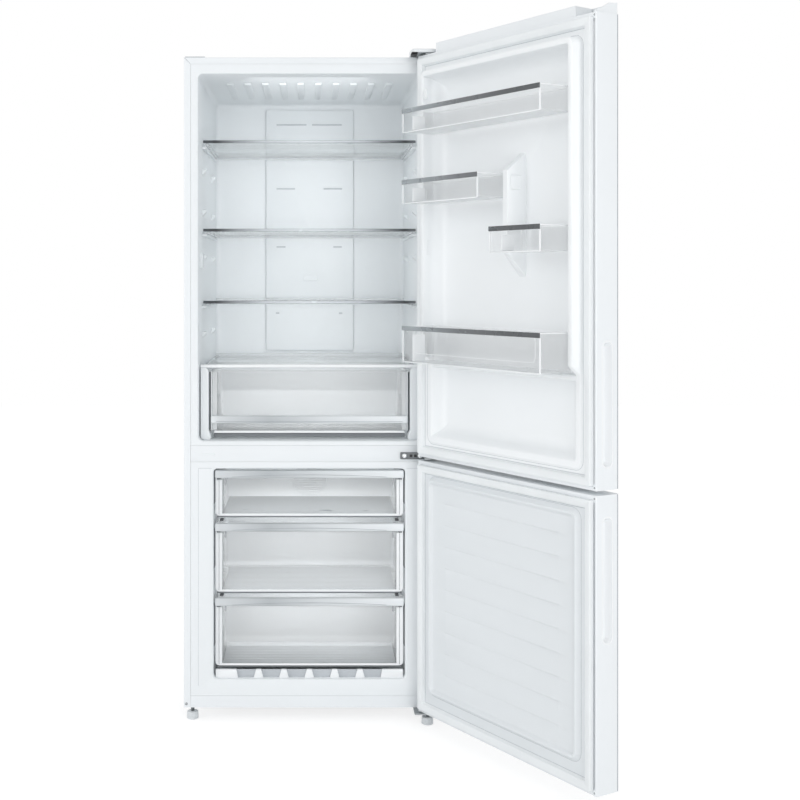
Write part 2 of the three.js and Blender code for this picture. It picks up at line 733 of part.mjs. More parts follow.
// ---- Air and cold -----------------------------------------------------------------------------
function airDuctCover() {
  const x = DUCT_WIDTH / 2;
  const back = fridge.depth - GAP;
  const front = back - DUCT_DEPTH;
  const bottom = coverLevel + DUCT_BOTTOM_GAP;
  const top = fridge.ceiling - DUCT_TOP_GAP;
  const plate = block([-x, x], [front, back], [bottom, top]);
  const hollow = block(
    [SHEET - x, x - SHEET],
    [front + SHEET, back + 1],
    [bottom + SHEET, top - SHEET],
  );
  const slots = DUCT_SLOT_SHARES.flatMap(({ down, from, to }) => {
    const level = top - down * (top - bottom);
    return [-1, 1].map((side) => block(
      mirrored(side, from * x, to * x),
      [front - 1, front + SHEET + 1],
      [level - SLOT_HEIGHT / 2, level + SLOT_HEIGHT / 2],
    ));
  });
  return cut(plate, hollow, ...slots);
}

const coverBack = evaporatorCoverFront + EVAPORATOR_COVER_THICKNESS;
const fanLevel = freezer.ceiling - FAN_DROP;

function evaporatorCover() {
  const plate = panel(
    [2 * GAP - freezer.half, freezer.half - 2 * GAP],
    [step.top + GAP, freezer.ceiling - GAP],
    LINER_CORNER / 2 + GAP,
    [evaporatorCoverFront, coverBack],
  );
  const mouth = deepCylinder(0, fanLevel, FAN_RADIUS, [evaporatorCoverFront - 1, coverBack + 1]);
  return cut(plate, mouth);
}

const rotorSpan = [coverBack + FAN_SETBACK, coverBack + FAN_SETBACK + FAN_DEPTH];
const motorFront = rotorSpan[1] + FAN_SETBACK;

function fanRotor() {
  const hub = deepCylinder(0, fanLevel, FAN_RADIUS / 3, rotorSpan, 16);
  const blades = Array.from({ length: FAN_BLADES }, (_, blade) => {
    const length = FAN_RADIUS - FAN_TIP_CLEARANCE - FAN_RADIUS / 6;
    const geometry = new THREE.BoxGeometry(length, BLADE_THICKNESS, FAN_RADIUS / 2.5);
    geometry.rotateX(Math.PI / 5).translate(FAN_RADIUS / 6 + length / 2, 0, 0);
    geometry.rotateY((blade / FAN_BLADES) * Math.PI * 2);
    return solid(geometry.translate(0, (rotorSpan[0] + rotorSpan[1]) / 2, fanLevel));
  });
  return join(hub, ...blades);
}

function fanMotor() {
  const motorBack = motorFront + MOTOR_DEPTH;
  const can = deepCylinder(0, fanLevel, FAN_RADIUS / 2, [motorFront, motorBack], 16);
  const reach = FAN_RADIUS + MOTOR_POST_CLEARANCE + MOTOR_POST;
  const z = [fanLevel - MOTOR_BAR / 2, fanLevel + MOTOR_BAR / 2];
  const barFront = motorBack - MOTOR_DEPTH / 2;
  const bar = block([-reach, reach], [barFront, barFront + MOTOR_BAR_THICKNESS], z);
  const posts = [-1, 1].map((side) => block(
    mirrored(side, reach - MOTOR_POST, reach),
    [coverBack + GAP, barFront + 1],
    z,
  ));
  return join(can, bar, ...posts);
}

// A block of upright fins over a cross tube.
function evaporator() {
  const x = EVAPORATOR_WIDTH / 2;
  const low = step.top + GAP;
  const high = low + EVAPORATOR_HEIGHT;
  const pitch = EVAPORATOR_WIDTH / (2 * EVAPORATOR_FINS - 1);
  const points = [[-x, low], [x, low]];
  for (let fin = EVAPORATOR_FINS - 1; fin >= 0; fin -= 1) {
    const left = -x + fin * 2 * pitch;
    points.push([left + pitch, high], [left, high]);
    if (fin > 0) {
      points.push([left, low + pitch], [left - pitch, low + pitch]);
    }
  }
  const back = freezer.depth - 2 * GAP;
  return solid(pushedBack(outline(points), [back - EVAPORATOR_DEPTH, back]));
}

piece('air_duct_cover', airDuctCover(), linerWhite);
piece('evaporator_cover', evaporatorCover(), linerWhite);
piece('fan_motor', fanMotor(), blackEnamel);
piece('fan_rotor', fanRotor(), greyPlastic);
piece('evaporator', evaporator(), aluminiumFin);

// ---- Machine bay ------------------------------------------------------------------------------
const bayFloor = CABINET_BOTTOM + SHEET + GAP;
const bayMiddle = (bayFront + SHEET + rearInside) / 2;

function compressor() {
  const r = COMPRESSOR_RADIUS;
  const h = COMPRESSOR_HEIGHT;
  const profile = [
    [0, COMPRESSOR_PLATE / 2], [r * 0.72, COMPRESSOR_PLATE * 0.75], [r, r / 3],
    [r, h - r / 2], [r * 0.85, h - r / 6], [r * 0.45, h], [0, h],
  ].map(([a, b]) => new THREE.Vector2(a, b));
  const can = solid(new THREE.LatheGeometry(profile, 24).rotateX(Math.PI / 2));
  const plate = block([-r * 1.2, r * 1.2], [-r * 0.75, r * 0.75], [0, COMPRESSOR_PLATE]);
  return join(can, plate).translate([COMPRESSOR_X, bayMiddle, bayFloor]);
}

function drainPan() {
  const x = [PAN_X - PAN_WIDTH / 2, PAN_X + PAN_WIDTH / 2];
  const y = [bayMiddle - PAN_DEPTH / 2, bayMiddle + PAN_DEPTH / 2];
  const tray = block(x, y, [bayFloor, bayFloor + PAN_HEIGHT]);
  const inside = block(
    [x[0] + DRAWER_WALL, x[1] - DRAWER_WALL],
    [y[0] + DRAWER_WALL, y[1] - DRAWER_WALL],
    [bayFloor + DRAWER_WALL, bayFloor + PAN_HEIGHT + 1],
  );
  return cut(tray, inside);
}

function rearGrille() {
  const front = rearInside + GAP;
  const plate = block(
    [-shellHalf, shellHalf],
    [front, CABINET_DEPTH - GAP],
    [CABINET_BOTTOM, bayCeiling],
  );
  const slotLength = half / 2;
  const slots = [];
  for (let z = CABINET_BOTTOM + GRILLE_EDGE; z < BAY_TOP - GRILLE_EDGE; z += GRILLE_PITCH) {
    [-1, 1].forEach((side) => {
      const span = mirrored(side, GRILLE_MIDDLE, GRILLE_MIDDLE + slotLength);
      slots.push(block(span, [front - 1, CABINET_DEPTH + 1], [z, z + GRILLE_SLOT]));
    });
  }
  return cut(plate, ...slots);
}

piece('compressor', compressor(), blackEnamel);
piece('drain_pan', drainPan(), blackEnamel);
piece('rear_grille', rearGrille(), galvanised);

// ---- Hinges, feet and rollers -----------------------------------------------------------------
const plateTop = CABINET_TOP + GAP;

function hingePin(z) {
  return uprightCylinder(pin.x, pin.y, PIN_RADIUS, z);
}

function topHingeBracket() {
  const edge = BRACKET_EDGE - SHEET;
  const inner = half - BRACKET_LENGTH;
  const back = BRACKET_LENGTH - COVER_WALL_CLEARANCE;
  const arm = solid(pulledUp(outline([
    [inner, back], [inner, COVER_WALL_CLEARANCE], [pin.x - edge, pin.y - edge],
    [pin.x + edge, pin.y - edge], [pin.x + edge, COVER_WALL_CLEARANCE], [half - BRACKET, back],
  ]), [plateTop, plateTop + BRACKET]));
  return arm.add(hingePin([upperDoor[1] - PIN_REACH, plateTop + BRACKET]));
}

// The cap over the top hinge, drawn around its plate and set back by the wall given.
function hingeCap(wall, z) {
  const reach = BRACKET_LENGTH + COVER_WALL_CLEARANCE;
  const nose = pin.y - BRACKET_EDGE - COVER_WALL_CLEARANCE;
  return solid(pulledUp(outline([
    [half - wall, BRACKET_LENGTH - wall], [half - reach + wall, BRACKET_LENGTH - wall],
    [half - reach + wall, wall], [pin.x - BRACKET_LENGTH / 2 + wall, pin.y + COVER_WALL_CLEARANCE],
    [pin.x - BRACKET_LENGTH / 2 + 2 * wall, nose + wall], [half - wall, nose + wall],
  ]), z));
}

function topHingeCover() {
  const top = ridgeTop + SHEET;
  return cut(hingeCap(0, [plateTop, top]), hingeCap(SHEET, [plateTop - 1, top - SHEET]));
}

const armLevel = (upperDoor[0] + lowerDoor[1]) / 2;

function middleHingeBracket() {
  const plate = block(
    [pin.x - BRACKET_LENGTH - FLANGE, half - 2 * BRACKET],
    [-BRACKET, -GAP],
    [lowerDoor[1] - SHEET, railTop - FLANGE],
  );
  const arm = block(
    [pin.x - BRACKET_EDGE, half - GAP],
    [pin.y - BRACKET_EDGE, -GAP],
    [armLevel - BRACKET / 2, armLevel + BRACKET / 2],
  );
  const pins = hingePin([lowerDoor[1] - PIN_REACH, upperDoor[0] + PIN_REACH]);
  return join(plate, arm, pins);
}

const bottomPlate = CABINET_BOTTOM - GAP - BRACKET;

function bottomHingeBracket() {
  const plate = block(
    [half - BRACKET_LENGTH, half - SHEET],
    [pin.y - BRACKET_EDGE, BRACKET_LENGTH],
    [bottomPlate, bottomPlate + BRACKET],
  );
  return plate.add(hingePin([bottomPlate, lowerDoor[0] + PIN_REACH]));
}

function foot(x, y, top) {
  const profile = [
    [0, 0], [FOOT_RADIUS - FOOT_EDGE, 0], [FOOT_RADIUS, FOOT_EDGE],
    [FOOT_RADIUS, FOOT_HEIGHT - FOOT_EDGE], [FOOT_RADIUS - FOOT_EDGE, FOOT_HEIGHT],
    [STUD_RADIUS, FOOT_HEIGHT], [STUD_RADIUS, top], [0, top],
  ].map(([a, b]) => new THREE.Vector2(a, b));
  return solid(new THREE.LatheGeometry(profile, 20).rotateX(Math.PI / 2).translate(x, y, 0));
}

function rearRoller(side) {
  const x = side * (half - ROLLER_INSET);
  const wheel = crossCylinder(
    rollerY, ROLLER_RADIUS, ROLLER_RADIUS, [x - ROLLER_WIDTH / 2, x + ROLLER_WIDTH / 2],
  );
  const reach = ROLLER_WIDTH / 2 + GAP + LUG;
  return wheel.add(crossCylinder(rollerY, ROLLER_RADIUS, AXLE_RADIUS, [x - reach, x + reach]));
}

piece('top_hinge_bracket', topHingeBracket(), zincSteel);
piece('top_hinge_cover', topHingeCover(), greyPlastic);
piece('middle_hinge_bracket', middleHingeBracket(), zincSteel);
piece('bottom_hinge_bracket', bottomHingeBracket(), zincSteel);
piece('front_left_foot', foot(-footX, LEFT_FOOT_Y, CABINET_BOTTOM - GAP), greyPlastic);
piece('front_right_foot', foot(footX, -RIGHT_FOOT_FORWARD, bottomPlate - GAP), greyPlastic);
piece('rear_left_roller', rearRoller(-1), blackEnamel);
piece('rear_right_roller', rearRoller(1), blackEnamel);

// ---- Doors ------------------------------------------------------------------------------------
// A door is drawn closed and then turned about its hinge pins.
function hungDoor() {
  const swing = new THREE.Group();
  swing.position.set(pin.x, pin.y, 0);
  swing.rotation.z = THREE.MathUtils.degToRad(DOOR_OPEN);
  const door = new THREE.Group();
  door.position.set(-pin.x, -pin.y, 0);
  swing.add(door);
  refrigerator.add(swing);
  return door;
}

const skinInside = doorOuter + SHEET + GAP;
const pocketY = [doorInner - POCKET_OFFSET - POCKET_WIDTH, doorInner - POCKET_OFFSET];

function pocketSpace(pocket, grow, depth) {
  return solid(pushedBack(
    outline([
      [-half - 1, pocket[0] - grow], [-shellHalf + depth + grow, pocket[0] - grow],
      [-shellHalf + depth + grow, pocket[1] + grow], [-half - 1, pocket[1] + grow],
    ]),
    [pocketY[0] - grow, pocketY[1] + grow],
  ));
}

function doorSkin([low, high], outerTop, pocket) {
  const sides = block([-half, half], [doorOuter, doorInner], [low, high]);
  const face = block([-half, half], [doorOuter, doorOuter + SHEET], [low, outerTop]);
  const inside = block(
    [SHEET - half, half - SHEET],
    [doorOuter + SHEET, doorInner - SHEET],
    [low - 1, high + 1],
  );
  const mouth = block(
    [DOOR_BEAD - half, half - DOOR_BEAD],
    [doorInner - SHEET - 1, doorInner + 1],
    [low - 1, high + 1],
  );
  return cut(cut(sides, inside, mouth).add(face), pocketSpace(pocket, 0, 0));
}

const coreBack = doorInner - SHEET - GAP;
const panelHalf = half - DOOR_BEAD - GAP;

function pinBore(z) {
  return uprightCylinder(pin.x, pin.y, PIN_RADIUS + PIN_CLEARANCE, z);
}

function doorCap([z0, z1], pinZ, extra = null) {
  const bar = block([-shellHalf, shellHalf], [skinInside, coreBack], [z0, z1]);
  const front = block([-panelHalf, panelHalf], [coreBack - 1, doorInner], [z0, z1]);
  const whole = extra ? join(bar, front, extra) : bar.add(front);
  return whole.subtract(pinBore(pinZ));
}

// The raised outer edge of the upper door's top, which ends in a curved notch at the free side.
function topRidge([, high]) {
  const inner = doorInner - RIDGE_SETBACK;
  const notch = DOOR_THICKNESS / 2 + RIDGE_SETBACK / 2;
  const end = -shellHalf;
  const shape = new THREE.Shape();
  shape.moveTo(half - RIDGE_START, skinInside);
  shape.lineTo(half - RIDGE_START, inner);
  shape.lineTo(end + notch * 1.6, inner);
  shape.quadraticCurveTo(end + notch * 0.9, doorInner - notch, end, doorInner - notch);
  shape.lineTo(end, skinInside);
  shape.closePath();
  return solid(pulledUp(shape, [high - 1, ridgeTop]));
}

function doorCore([low, high], pocket, raised) {
  const z = [low + DOOR_CAP + GAP, high - DOOR_CAP - GAP];
  const slab = block([-shellHalf, shellHalf], [skinInside, coreBack], z);
  const face = block([-panelHalf, panelHalf], [coreBack - 1, doorInner], z);
  const bores = [
    pinBore([low, low + PIN_REACH + SHEET]),
    pinBore([high - PIN_REACH - SHEET, high]),
  ];
  const cup = pocketSpace(pocket, LINER_WALL + GAP, POCKET_DEPTH);
  return cut(join(slab, face, raised), ...bores, cup);
}

function doorGasket([low, high]) {
  const ring = (inset, y) => panel(
    [inset - half, half - inset], [low + inset, high - inset], LINER_CORNER / 2, y,
  );
  const y = [doorInner + GAP, -GASKET_CLEARANCE];
  return cut(ring(GASKET_INSET, y), ring(GASKET_INSET + GASKET_WIDTH, [y[0] - 1, y[1] + 1]));
}

function handlePocket(pocket) {
  const skinSide = block(
    [-half - SHEET, -shellHalf],
    [doorOuter, doorInner],
    [pocket[0] - POCKET_DEPTH, pocket[1] + POCKET_DEPTH],
  );
  const cup = cut(pocketSpace(pocket, LINER_WALL, POCKET_DEPTH), skinSide);
  return cup.subtract(pocketSpace(pocket, 0, POCKET_DEPTH));
}

// A raised rim around the inside of a door, and the recess within it.
function raisedRim(halfWidth, [low, high], height) {
  return moulded({
    halfWidth,
    low,
    high,
    radius: LINER_CORNER * 2,
    y: [doorInner - 1, doorInner + height],
    side: DYKE_DRAFT,
    top: DYKE_DRAFT,
    bottom: DYKE_DRAFT,
  });
}

function rimRecess(halfWidth, [low, high], height, depth) {
  const edge = DYKE_CREST + 2 * DYKE_DRAFT;
  return moulded({
    halfWidth: halfWidth - edge,
    low: low + edge,
    high: high - edge,
    radius: LINER_CORNER,
    y: [doorInner - depth, doorInner + height + 1],
    side: -DYKE_DRAFT,
    top: -DYKE_DRAFT,
    bottom: -DYKE_DRAFT,
  });
}

const dykeHalf = fridge.half - DYKE_CLEARANCE;
const dykeSpan = [fridge.floor + DYKE_CLEARANCE, fridge.ceiling - DYKE_CLEARANCE];
const ringSpan = [freezer.floor - PANEL_RING_LAP, freezer.ceiling - SHEET];

const binRow = [
  { drop: BIN_1_DROP, height: BIN_HEIGHT, from: 0, to: CABINET_WIDTH - 2 * BIN_SIDE_INSET },
  { drop: BIN_2_DROP, height: BIN_HEIGHT, from: 0, to: BIN_2_WIDTH },
  {
    drop: BIN_3_DROP,
    height: BIN_HEIGHT,
    from: CABINET_WIDTH - 2 * BIN_SIDE_INSET - BIN_3_WIDTH,
    to: CABINET_WIDTH - 2 * BIN_SIDE_INSET,
  },
  { drop: BIN_4_DROP, height: BIN_4_HEIGHT, from: 0, to: CABINET_WIDTH - 2 * BIN_SIDE_INSET },
].map(({ drop, height, from, to }) => ({
  x: [half - BIN_SIDE_INSET - to, half - BIN_SIDE_INSET - from],
  bottom: CABINET_TOP - drop - height,
  top: CABINET_TOP - drop,
}));

const lowestBin = binRow.at(-1);

// The rim stands high around the bins and runs low around the recess below them.
function upperRim() {
  const low = block(
    [-dykeHalf - 1, dykeHalf + 1],
    [doorInner + DYKE_LOW_HEIGHT, doorInner + DYKE_HEIGHT + 1],
    [dykeSpan[0] - 1, lowestBin.bottom + DYKE_DROP_RISE],
  );
  return cut(raisedRim(dykeHalf, dykeSpan, DYKE_HEIGHT), low);
}

function fieldBar() {
  const reach = dykeHalf - DYKE_CREST - DYKE_DRAFT;
  const top = lowestBin.bottom - FIELD_BAR_DROP;
  return block(
    [-reach, reach],
    [doorInner - FIELD_DEPTH - 1, doorInner + DYKE_LOW_HEIGHT],
    [top - FIELD_BAR_HEIGHT, top],
  );
}

// The hull-shaped bump between the two middle bins.
function binStop() {
  const [, left, right] = binRow;
  const middle = left.x[0] - STOP_CLEARANCE - STOP_WIDTH / 2;
  return moulded({
    halfWidth: STOP_WIDTH / 2,
    low: right.bottom - STOP_DROP,
    high: left.top + STOP_RISE,
    radius: LINER_WALL,
    y: [doorInner - FIELD_DEPTH - 1, doorInner + DYKE_HEIGHT],
    side: STOP_CLEARANCE,
    top: STOP_TOP_SLOPE,
    bottom: STOP_BOTTOM_SLOPE,
  }).translate([middle, 0, 0]);
}

function panelRibs() {
  const [low, high] = ringSpan;
  const edge = DYKE_CREST + 4 * DYKE_DRAFT;
  const pitch = (high - low - 2 * edge) / (RIB_COUNT + 1);
  return Array.from({ length: RIB_COUNT }, (_, rib) => block(
    [edge - dykeHalf, dykeHalf - edge],
    [doorInner - FIELD_DEPTH - 1, doorInner - FIELD_DEPTH + RIB_HEIGHT],
    [low + edge + (rib + 1) * pitch - RIB_WIDTH / 2, low + edge + (rib + 1) * pitch + RIB_WIDTH / 2],
  ));
}

const upper = hungDoor();
const upperCore = cut(
  doorCore(upperDoor, upperPocket, upperRim()),
  rimRecess(dykeHalf, dykeSpan, DYKE_HEIGHT, FIELD_DEPTH),
);
piece('upper_door_skin', doorSkin(upperDoor, ridgeTop, upperPocket), paintedWhite, upper);
piece('upper_door_core', join(upperCore, fieldBar(), binStop()), linerWhite, upper);
piece('upper_door_gasket', doorGasket(upperDoor), softWhite, upper);
piece('upper_door_top_cap', doorCap(
  [upperDoor[1] - DOOR_CAP, upperDoor[1]],
  [upperDoor[1] - DOOR_CAP - 1, ridgeTop],
  topRidge(upperDoor),
), paintedWhite, upper);
piece('upper_door_bottom_cap', doorCap(
  [upperDoor[0], upperDoor[0] + DOOR_CAP],
  [upperDoor[0] - 1, upperDoor[0] + DOOR_CAP + 1],
), paintedWhite, upper);
piece('upper_handle_pocket', handlePocket(upperPocket), paintedWhite, upper);

const lower = hungDoor();
const lowerCore = cut(
  doorCore(lowerDoor, lowerPocket, raisedRim(dykeHalf, ringSpan, PANEL_RING_HEIGHT)),
  rimRecess(dykeHalf, ringSpan, PANEL_RING_HEIGHT, FIELD_DEPTH),
);
piece('lower_door_skin', doorSkin(lowerDoor, lowerDoor[1], lowerPocket), paintedWhite, lower);
piece('lower_door_core', join(lowerCore, ...panelRibs()), linerWhite, lower);
piece('lower_door_gasket', doorGasket(lowerDoor), softWhite, lower);
piece('lower_door_top_cap', doorCap(
  [lowerDoor[1] - DOOR_CAP, lowerDoor[1]],
  [lowerDoor[1] - DOOR_CAP - 1, lowerDoor[1] + 1],
), paintedWhite, lower);
piece('lower_door_bottom_cap', doorCap(
  [lowerDoor[0], lowerDoor[0] + DOOR_CAP],
  [lowerDoor[0] - 1, lowerDoor[0] + DOOR_CAP + 1],
), paintedWhite, lower);
piece('lower_handle_pocket', handlePocket(lowerPocket), paintedWhite, lower);

// ---- Door bins --------------------------------------------------------------------------------
const binBack = doorInner + BIN_STANDOFF;
const binFront = binBack + BIN_DEPTH;

function doorBin({ x, bottom, top }) {
  const outside = panel(x, [bottom, top + LINER_CORNER], LINER_CORNER / 2, [binBack, binFront]);
  const above = block([x[0] - 1, x[1] + 1], [binBack - 1, binFront + 1], [top, top + 2 * LINER_CORNER]);
  const inside = panel(
    [x[0] + BIN_WALL, x[1] - BIN_WALL],
    [bottom + BIN_WALL, top + 2 * LINER_CORNER],
    LINER_CORNER / 2,
    [binBack + BIN_WALL, binFront - BIN_WALL],
  );
  const strip = block(
    [x[0] - 1, x[1] + 1],
    [binFront - BIN_STRIP_THICKNESS / 2, binFront + 1],
    [top - BIN_STRIP_HEIGHT - GAP, top + 1],
  );
  return cut(outside, above, inside, strip);
}

function binStrip({ x, top }) {
  return block(
    x,
    [binFront - BIN_STRIP_THICKNESS / 2 + GAP, binFront + BIN_STRIP_THICKNESS / 2],
    [top - BIN_STRIP_HEIGHT, top],
  );
}

binRow.forEach((bin, index) => {
  piece(`bin_${index + 1}_tub`, doorBin(bin), clearPlastic, upper);
  piece(`bin_${index + 1}_strip`, binStrip(bin), darkTrim, upper);
});

refrigerator.position.set(footX, -LEFT_FOOT_Y, 0);

export default refrigerator;
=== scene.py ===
"""A two-door refrigerator with the freezer at the bottom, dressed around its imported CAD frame.

Sizes are millimetres in the cabinet's own frame, measured from the middle of its front plane at
floor level, +X to the right, +Y to the back and +Z up. A door's sizes are those of the door when it
is shut. A Seat carries each piece from there to its place, and names the body that it rides on.
"""

import logging
import math
from dataclasses import dataclass, replace
from enum import Enum
from typing import ClassVar, Iterable, Optional, Sequence

import bmesh
import bpy
from mathutils import Matrix, Vector


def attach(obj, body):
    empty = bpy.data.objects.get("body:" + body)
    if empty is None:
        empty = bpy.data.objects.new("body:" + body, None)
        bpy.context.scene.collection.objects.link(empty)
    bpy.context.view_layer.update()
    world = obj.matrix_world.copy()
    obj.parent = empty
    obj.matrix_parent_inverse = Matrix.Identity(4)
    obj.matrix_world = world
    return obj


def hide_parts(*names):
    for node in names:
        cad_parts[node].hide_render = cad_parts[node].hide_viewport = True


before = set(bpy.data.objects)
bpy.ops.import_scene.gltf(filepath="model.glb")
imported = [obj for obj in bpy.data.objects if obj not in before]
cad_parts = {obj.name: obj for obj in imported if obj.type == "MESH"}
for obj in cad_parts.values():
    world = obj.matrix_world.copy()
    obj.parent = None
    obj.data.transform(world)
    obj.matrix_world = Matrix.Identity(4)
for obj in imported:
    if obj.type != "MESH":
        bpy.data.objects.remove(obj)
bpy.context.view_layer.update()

log = logging.getLogger("refrigerator")

Span = tuple[float, float]
Point = tuple[float, float, float]
Colour = tuple[float, float, float]
Stop = tuple[float, Colour]

MILLIMETRE = 0.001
DOOR_OPEN = 121.0
PIN: Span = (332.0, -37.4)
ROW_SHIFT: Point = (0.327, -0.020, 0.0)
TINY = 1e-3
LEAST_ROUGHNESS = 0.02
CRISP_ANGLE = 0.5
SIDES = (-1, 1)
LINER_SHEET = 1.6


# ---- Seats -------------------------------------------------------------------------------------
@dataclass(frozen=True)
class Seat:
    """Where a piece's millimetres go, and the body that carries it."""

    body: str
    hung: bool = False

    def matrix(self) -> Matrix:
        """Return the transform from the piece's millimetres to the row frame in metres."""
        place = Matrix.Translation(ROW_SHIFT) @ Matrix.Scale(MILLIMETRE, 4)
        if not self.hung:
            return place
        pin = Vector((PIN[0], PIN[1], 0.0))
        turn = Matrix.Rotation(math.radians(DOOR_OPEN), 4, "Z")
        return place @ Matrix.Translation(pin) @ turn @ Matrix.Translation(-pin)


CABINET = Seat("cabinet")
CRISPER = Seat("crisper")
DRAWERS = (Seat("frozen_drawer_1"), Seat("frozen_drawer_2"), Seat("frozen_drawer_3"))
SLIDER = Seat("humidity_control")
UPPER_DOOR = Seat("upper_door", hung=True)
LOWER_DOOR = Seat("lower_door", hung=True)


# ---- Finishes ----------------------------------------------------------------------------------
class Wiring:
    """The nodes of one new material, with patterns that follow the object's own coordinates."""

    def __init__(self, made: bpy.types.Material, stretch: Point) -> None:
        """Start from the material's shader.

        Args:
            made: The new material.
            stretch: How much its patterns are squeezed along each axis.
        """
        self.nodes, self.links = made.node_tree.nodes, made.node_tree.links
        self.shader = self.nodes["Principled BSDF"]
        place = self.add("TexCoord", {})
        mapping = self.add("Mapping", {"Scale": stretch})
        self.links.new(place.outputs["Object"], mapping.inputs["Vector"])
        self.where = mapping.outputs["Vector"]

    def add(self, kind: str, values: dict[str, object]) -> bpy.types.Node:
        """Add a node.

        Args:
            kind: The last part of its type's name.
            values: The constants of its sockets.

        Returns:
            The node.
        """
        node = self.nodes.new(f"ShaderNode{kind}")
        for name, value in values.items():
            node.inputs[name].default_value = value
        return node

    def noise(self, scale: float, detail: float = 2.0) -> bpy.types.NodeSocket:
        """Add a noise over the object.

        Args:
            scale: How fine it is.
            detail: How many finer layers it has.

        Returns:
            Its value from 0 to 1.
        """
        node = self.add("TexNoise", {"Scale": scale, "Detail": detail})
        self.links.new(self.where, node.inputs["Vector"])
        return node.outputs["Fac"]

    def spread(self, value: bpy.types.NodeSocket, low: float, high: float) -> bpy.types.NodeSocket:
        """Spread a value from 0 to 1 between two others.

        Args:
            value: The value.
            low: What 0 becomes.
            high: What 1 becomes.

        Returns:
            The spread value.
        """
        node = self.add("MapRange", {"To Min": low, "To Max": high})
        self.links.new(value, node.inputs["Value"])
        return node.outputs["Result"]

    def ramp(self, value: bpy.types.NodeSocket, stops: Sequence[Stop]) -> bpy.types.NodeSocket:
        """Return the colour that a value has on a ramp.

        Args:
            value: What runs along the ramp.
            stops: The ramp's places and colours.

        Returns:
            The colour.
        """
        node = self.add("ValToRGB", {})
        elements = node.color_ramp.elements
        for element, (position, colour) in zip(elements, (stops[0], stops[-1])):
            element.position, element.color = position, (*colour, 1.0)
        for position, colour in stops[1:-1]:
            elements.new(position).color = (*colour, 1.0)
        self.links.new(value, node.inputs["Fac"])
        return node.outputs["Color"]


@dataclass(frozen=True)
class Finish:
    """A surface with faint mottling, uneven gloss and a fine grain."""

    name: str
    slot: str
    colour: Colour
    roughness: float = 0.35
    metallic: float = 0.0
    specular: float = 0.5
    coat: float = 0.0
    mottle: float = 0.02
    mottle_scale: float = 5.0
    gloss_spread: float = 0.06
    grain_scale: float = 700.0
    grain_depth: float = 0.00001
    grain_strength: float = 0.15
    stretch: Point = (1.0, 1.0, 1.0)

    made: ClassVar[dict[str, bpy.types.Material]] = {}

    def material(self) -> bpy.types.Material:
        """Return the finish's material, made on its first use."""
        if self.name not in Finish.made:
            made = bpy.data.materials.new(self.name)
            made.use_nodes = True
            self.wire(Wiring(made, self.stretch))
            Finish.made[self.name] = made
        return Finish.made[self.name]

    def wire(self, wiring: Wiring) -> None:
        """Set the shader's sockets and wire the colour, gloss and grain.

        Args:
            wiring: The new material's nodes.
        """
        sockets, links = wiring.shader.inputs, wiring.links
        sockets["Metallic"].default_value = self.metallic
        sockets["Specular IOR Level"].default_value = self.specular
        sockets["Coat Weight"].default_value = self.coat
        low = max(LEAST_ROUGHNESS, self.roughness - self.gloss_spread)
        high = min(1.0, self.roughness + self.gloss_spread)
        uneven = wiring.noise(self.mottle_scale * 4)
        bump = wiring.add("Bump", {"Strength": self.grain_strength, "Distance": self.grain_depth})
        links.new(wiring.noise(self.grain_scale), bump.inputs["Height"])
        links.new(self.tint(wiring), sockets["Base Color"])
        links.new(wiring.spread(uneven, low, high), sockets["Roughness"])
        links.new(bump.outputs["Normal"], sockets["Normal"])

    def tint(self, wiring: Wiring) -> bpy.types.NodeSocket:
        """Make the colour, which wanders a little over the surface.

        Args:
            wiring: The new material's nodes.

        Returns:
            The colour.
        """
        dark = tuple(c * (1 - self.mottle) for c in self.colour)
        light = tuple(min(1.0, c * (1 + self.mottle)) for c in self.colour)
        return wiring.ramp(wiring.noise(self.mottle_scale, 3.0), ((0.3, dark), (0.7, light)))


@dataclass(frozen=True)
class ClearFinish(Finish):
    """A clear plastic or glass that shows more of itself where it is seen at a slant."""

    facing_alpha: float = 0.14
    slant_alpha: float = 0.75
    slant_blend: float = 0.35

    def wire(self, wiring: Wiring) -> None:
        """Wire the finish, and its opacity by the slant of the surface.

        Args:
            wiring: The new material's nodes.
        """
        super().wire(wiring)
        slant = wiring.add("LayerWeight", {"Blend": self.slant_blend}).outputs["Facing"]
        alpha = wiring.spread(slant, self.facing_alpha, self.slant_alpha)
        wiring.links.new(alpha, wiring.shader.inputs["Alpha"])


@dataclass(frozen=True)
class PaintedReflectionFinish(Finish):
    """A polished trim whose painted reflections run in light and dark bands across the cabinet."""

    bands: tuple[Stop, ...] = ()
    across: Span = (-0.32, 0.32)

    def tint(self, wiring: Wiring) -> bpy.types.NodeSocket:
        """Paint the reflections as bands of colour that run across the cabinet.

        Args:
            wiring: The new material's nodes.

        Returns:
            The colour.
        """
        split = wiring.add("SeparateXYZ", {})
        share = wiring.add("MapRange", {"From Min": self.across[0], "From Max": self.across[1]})
        wiring.links.new(wiring.where, split.inputs["Vector"])
        wiring.links.new(split.outputs["X"], share.inputs["Value"])
        return wiring.ramp(share.outputs["Result"], self.bands)


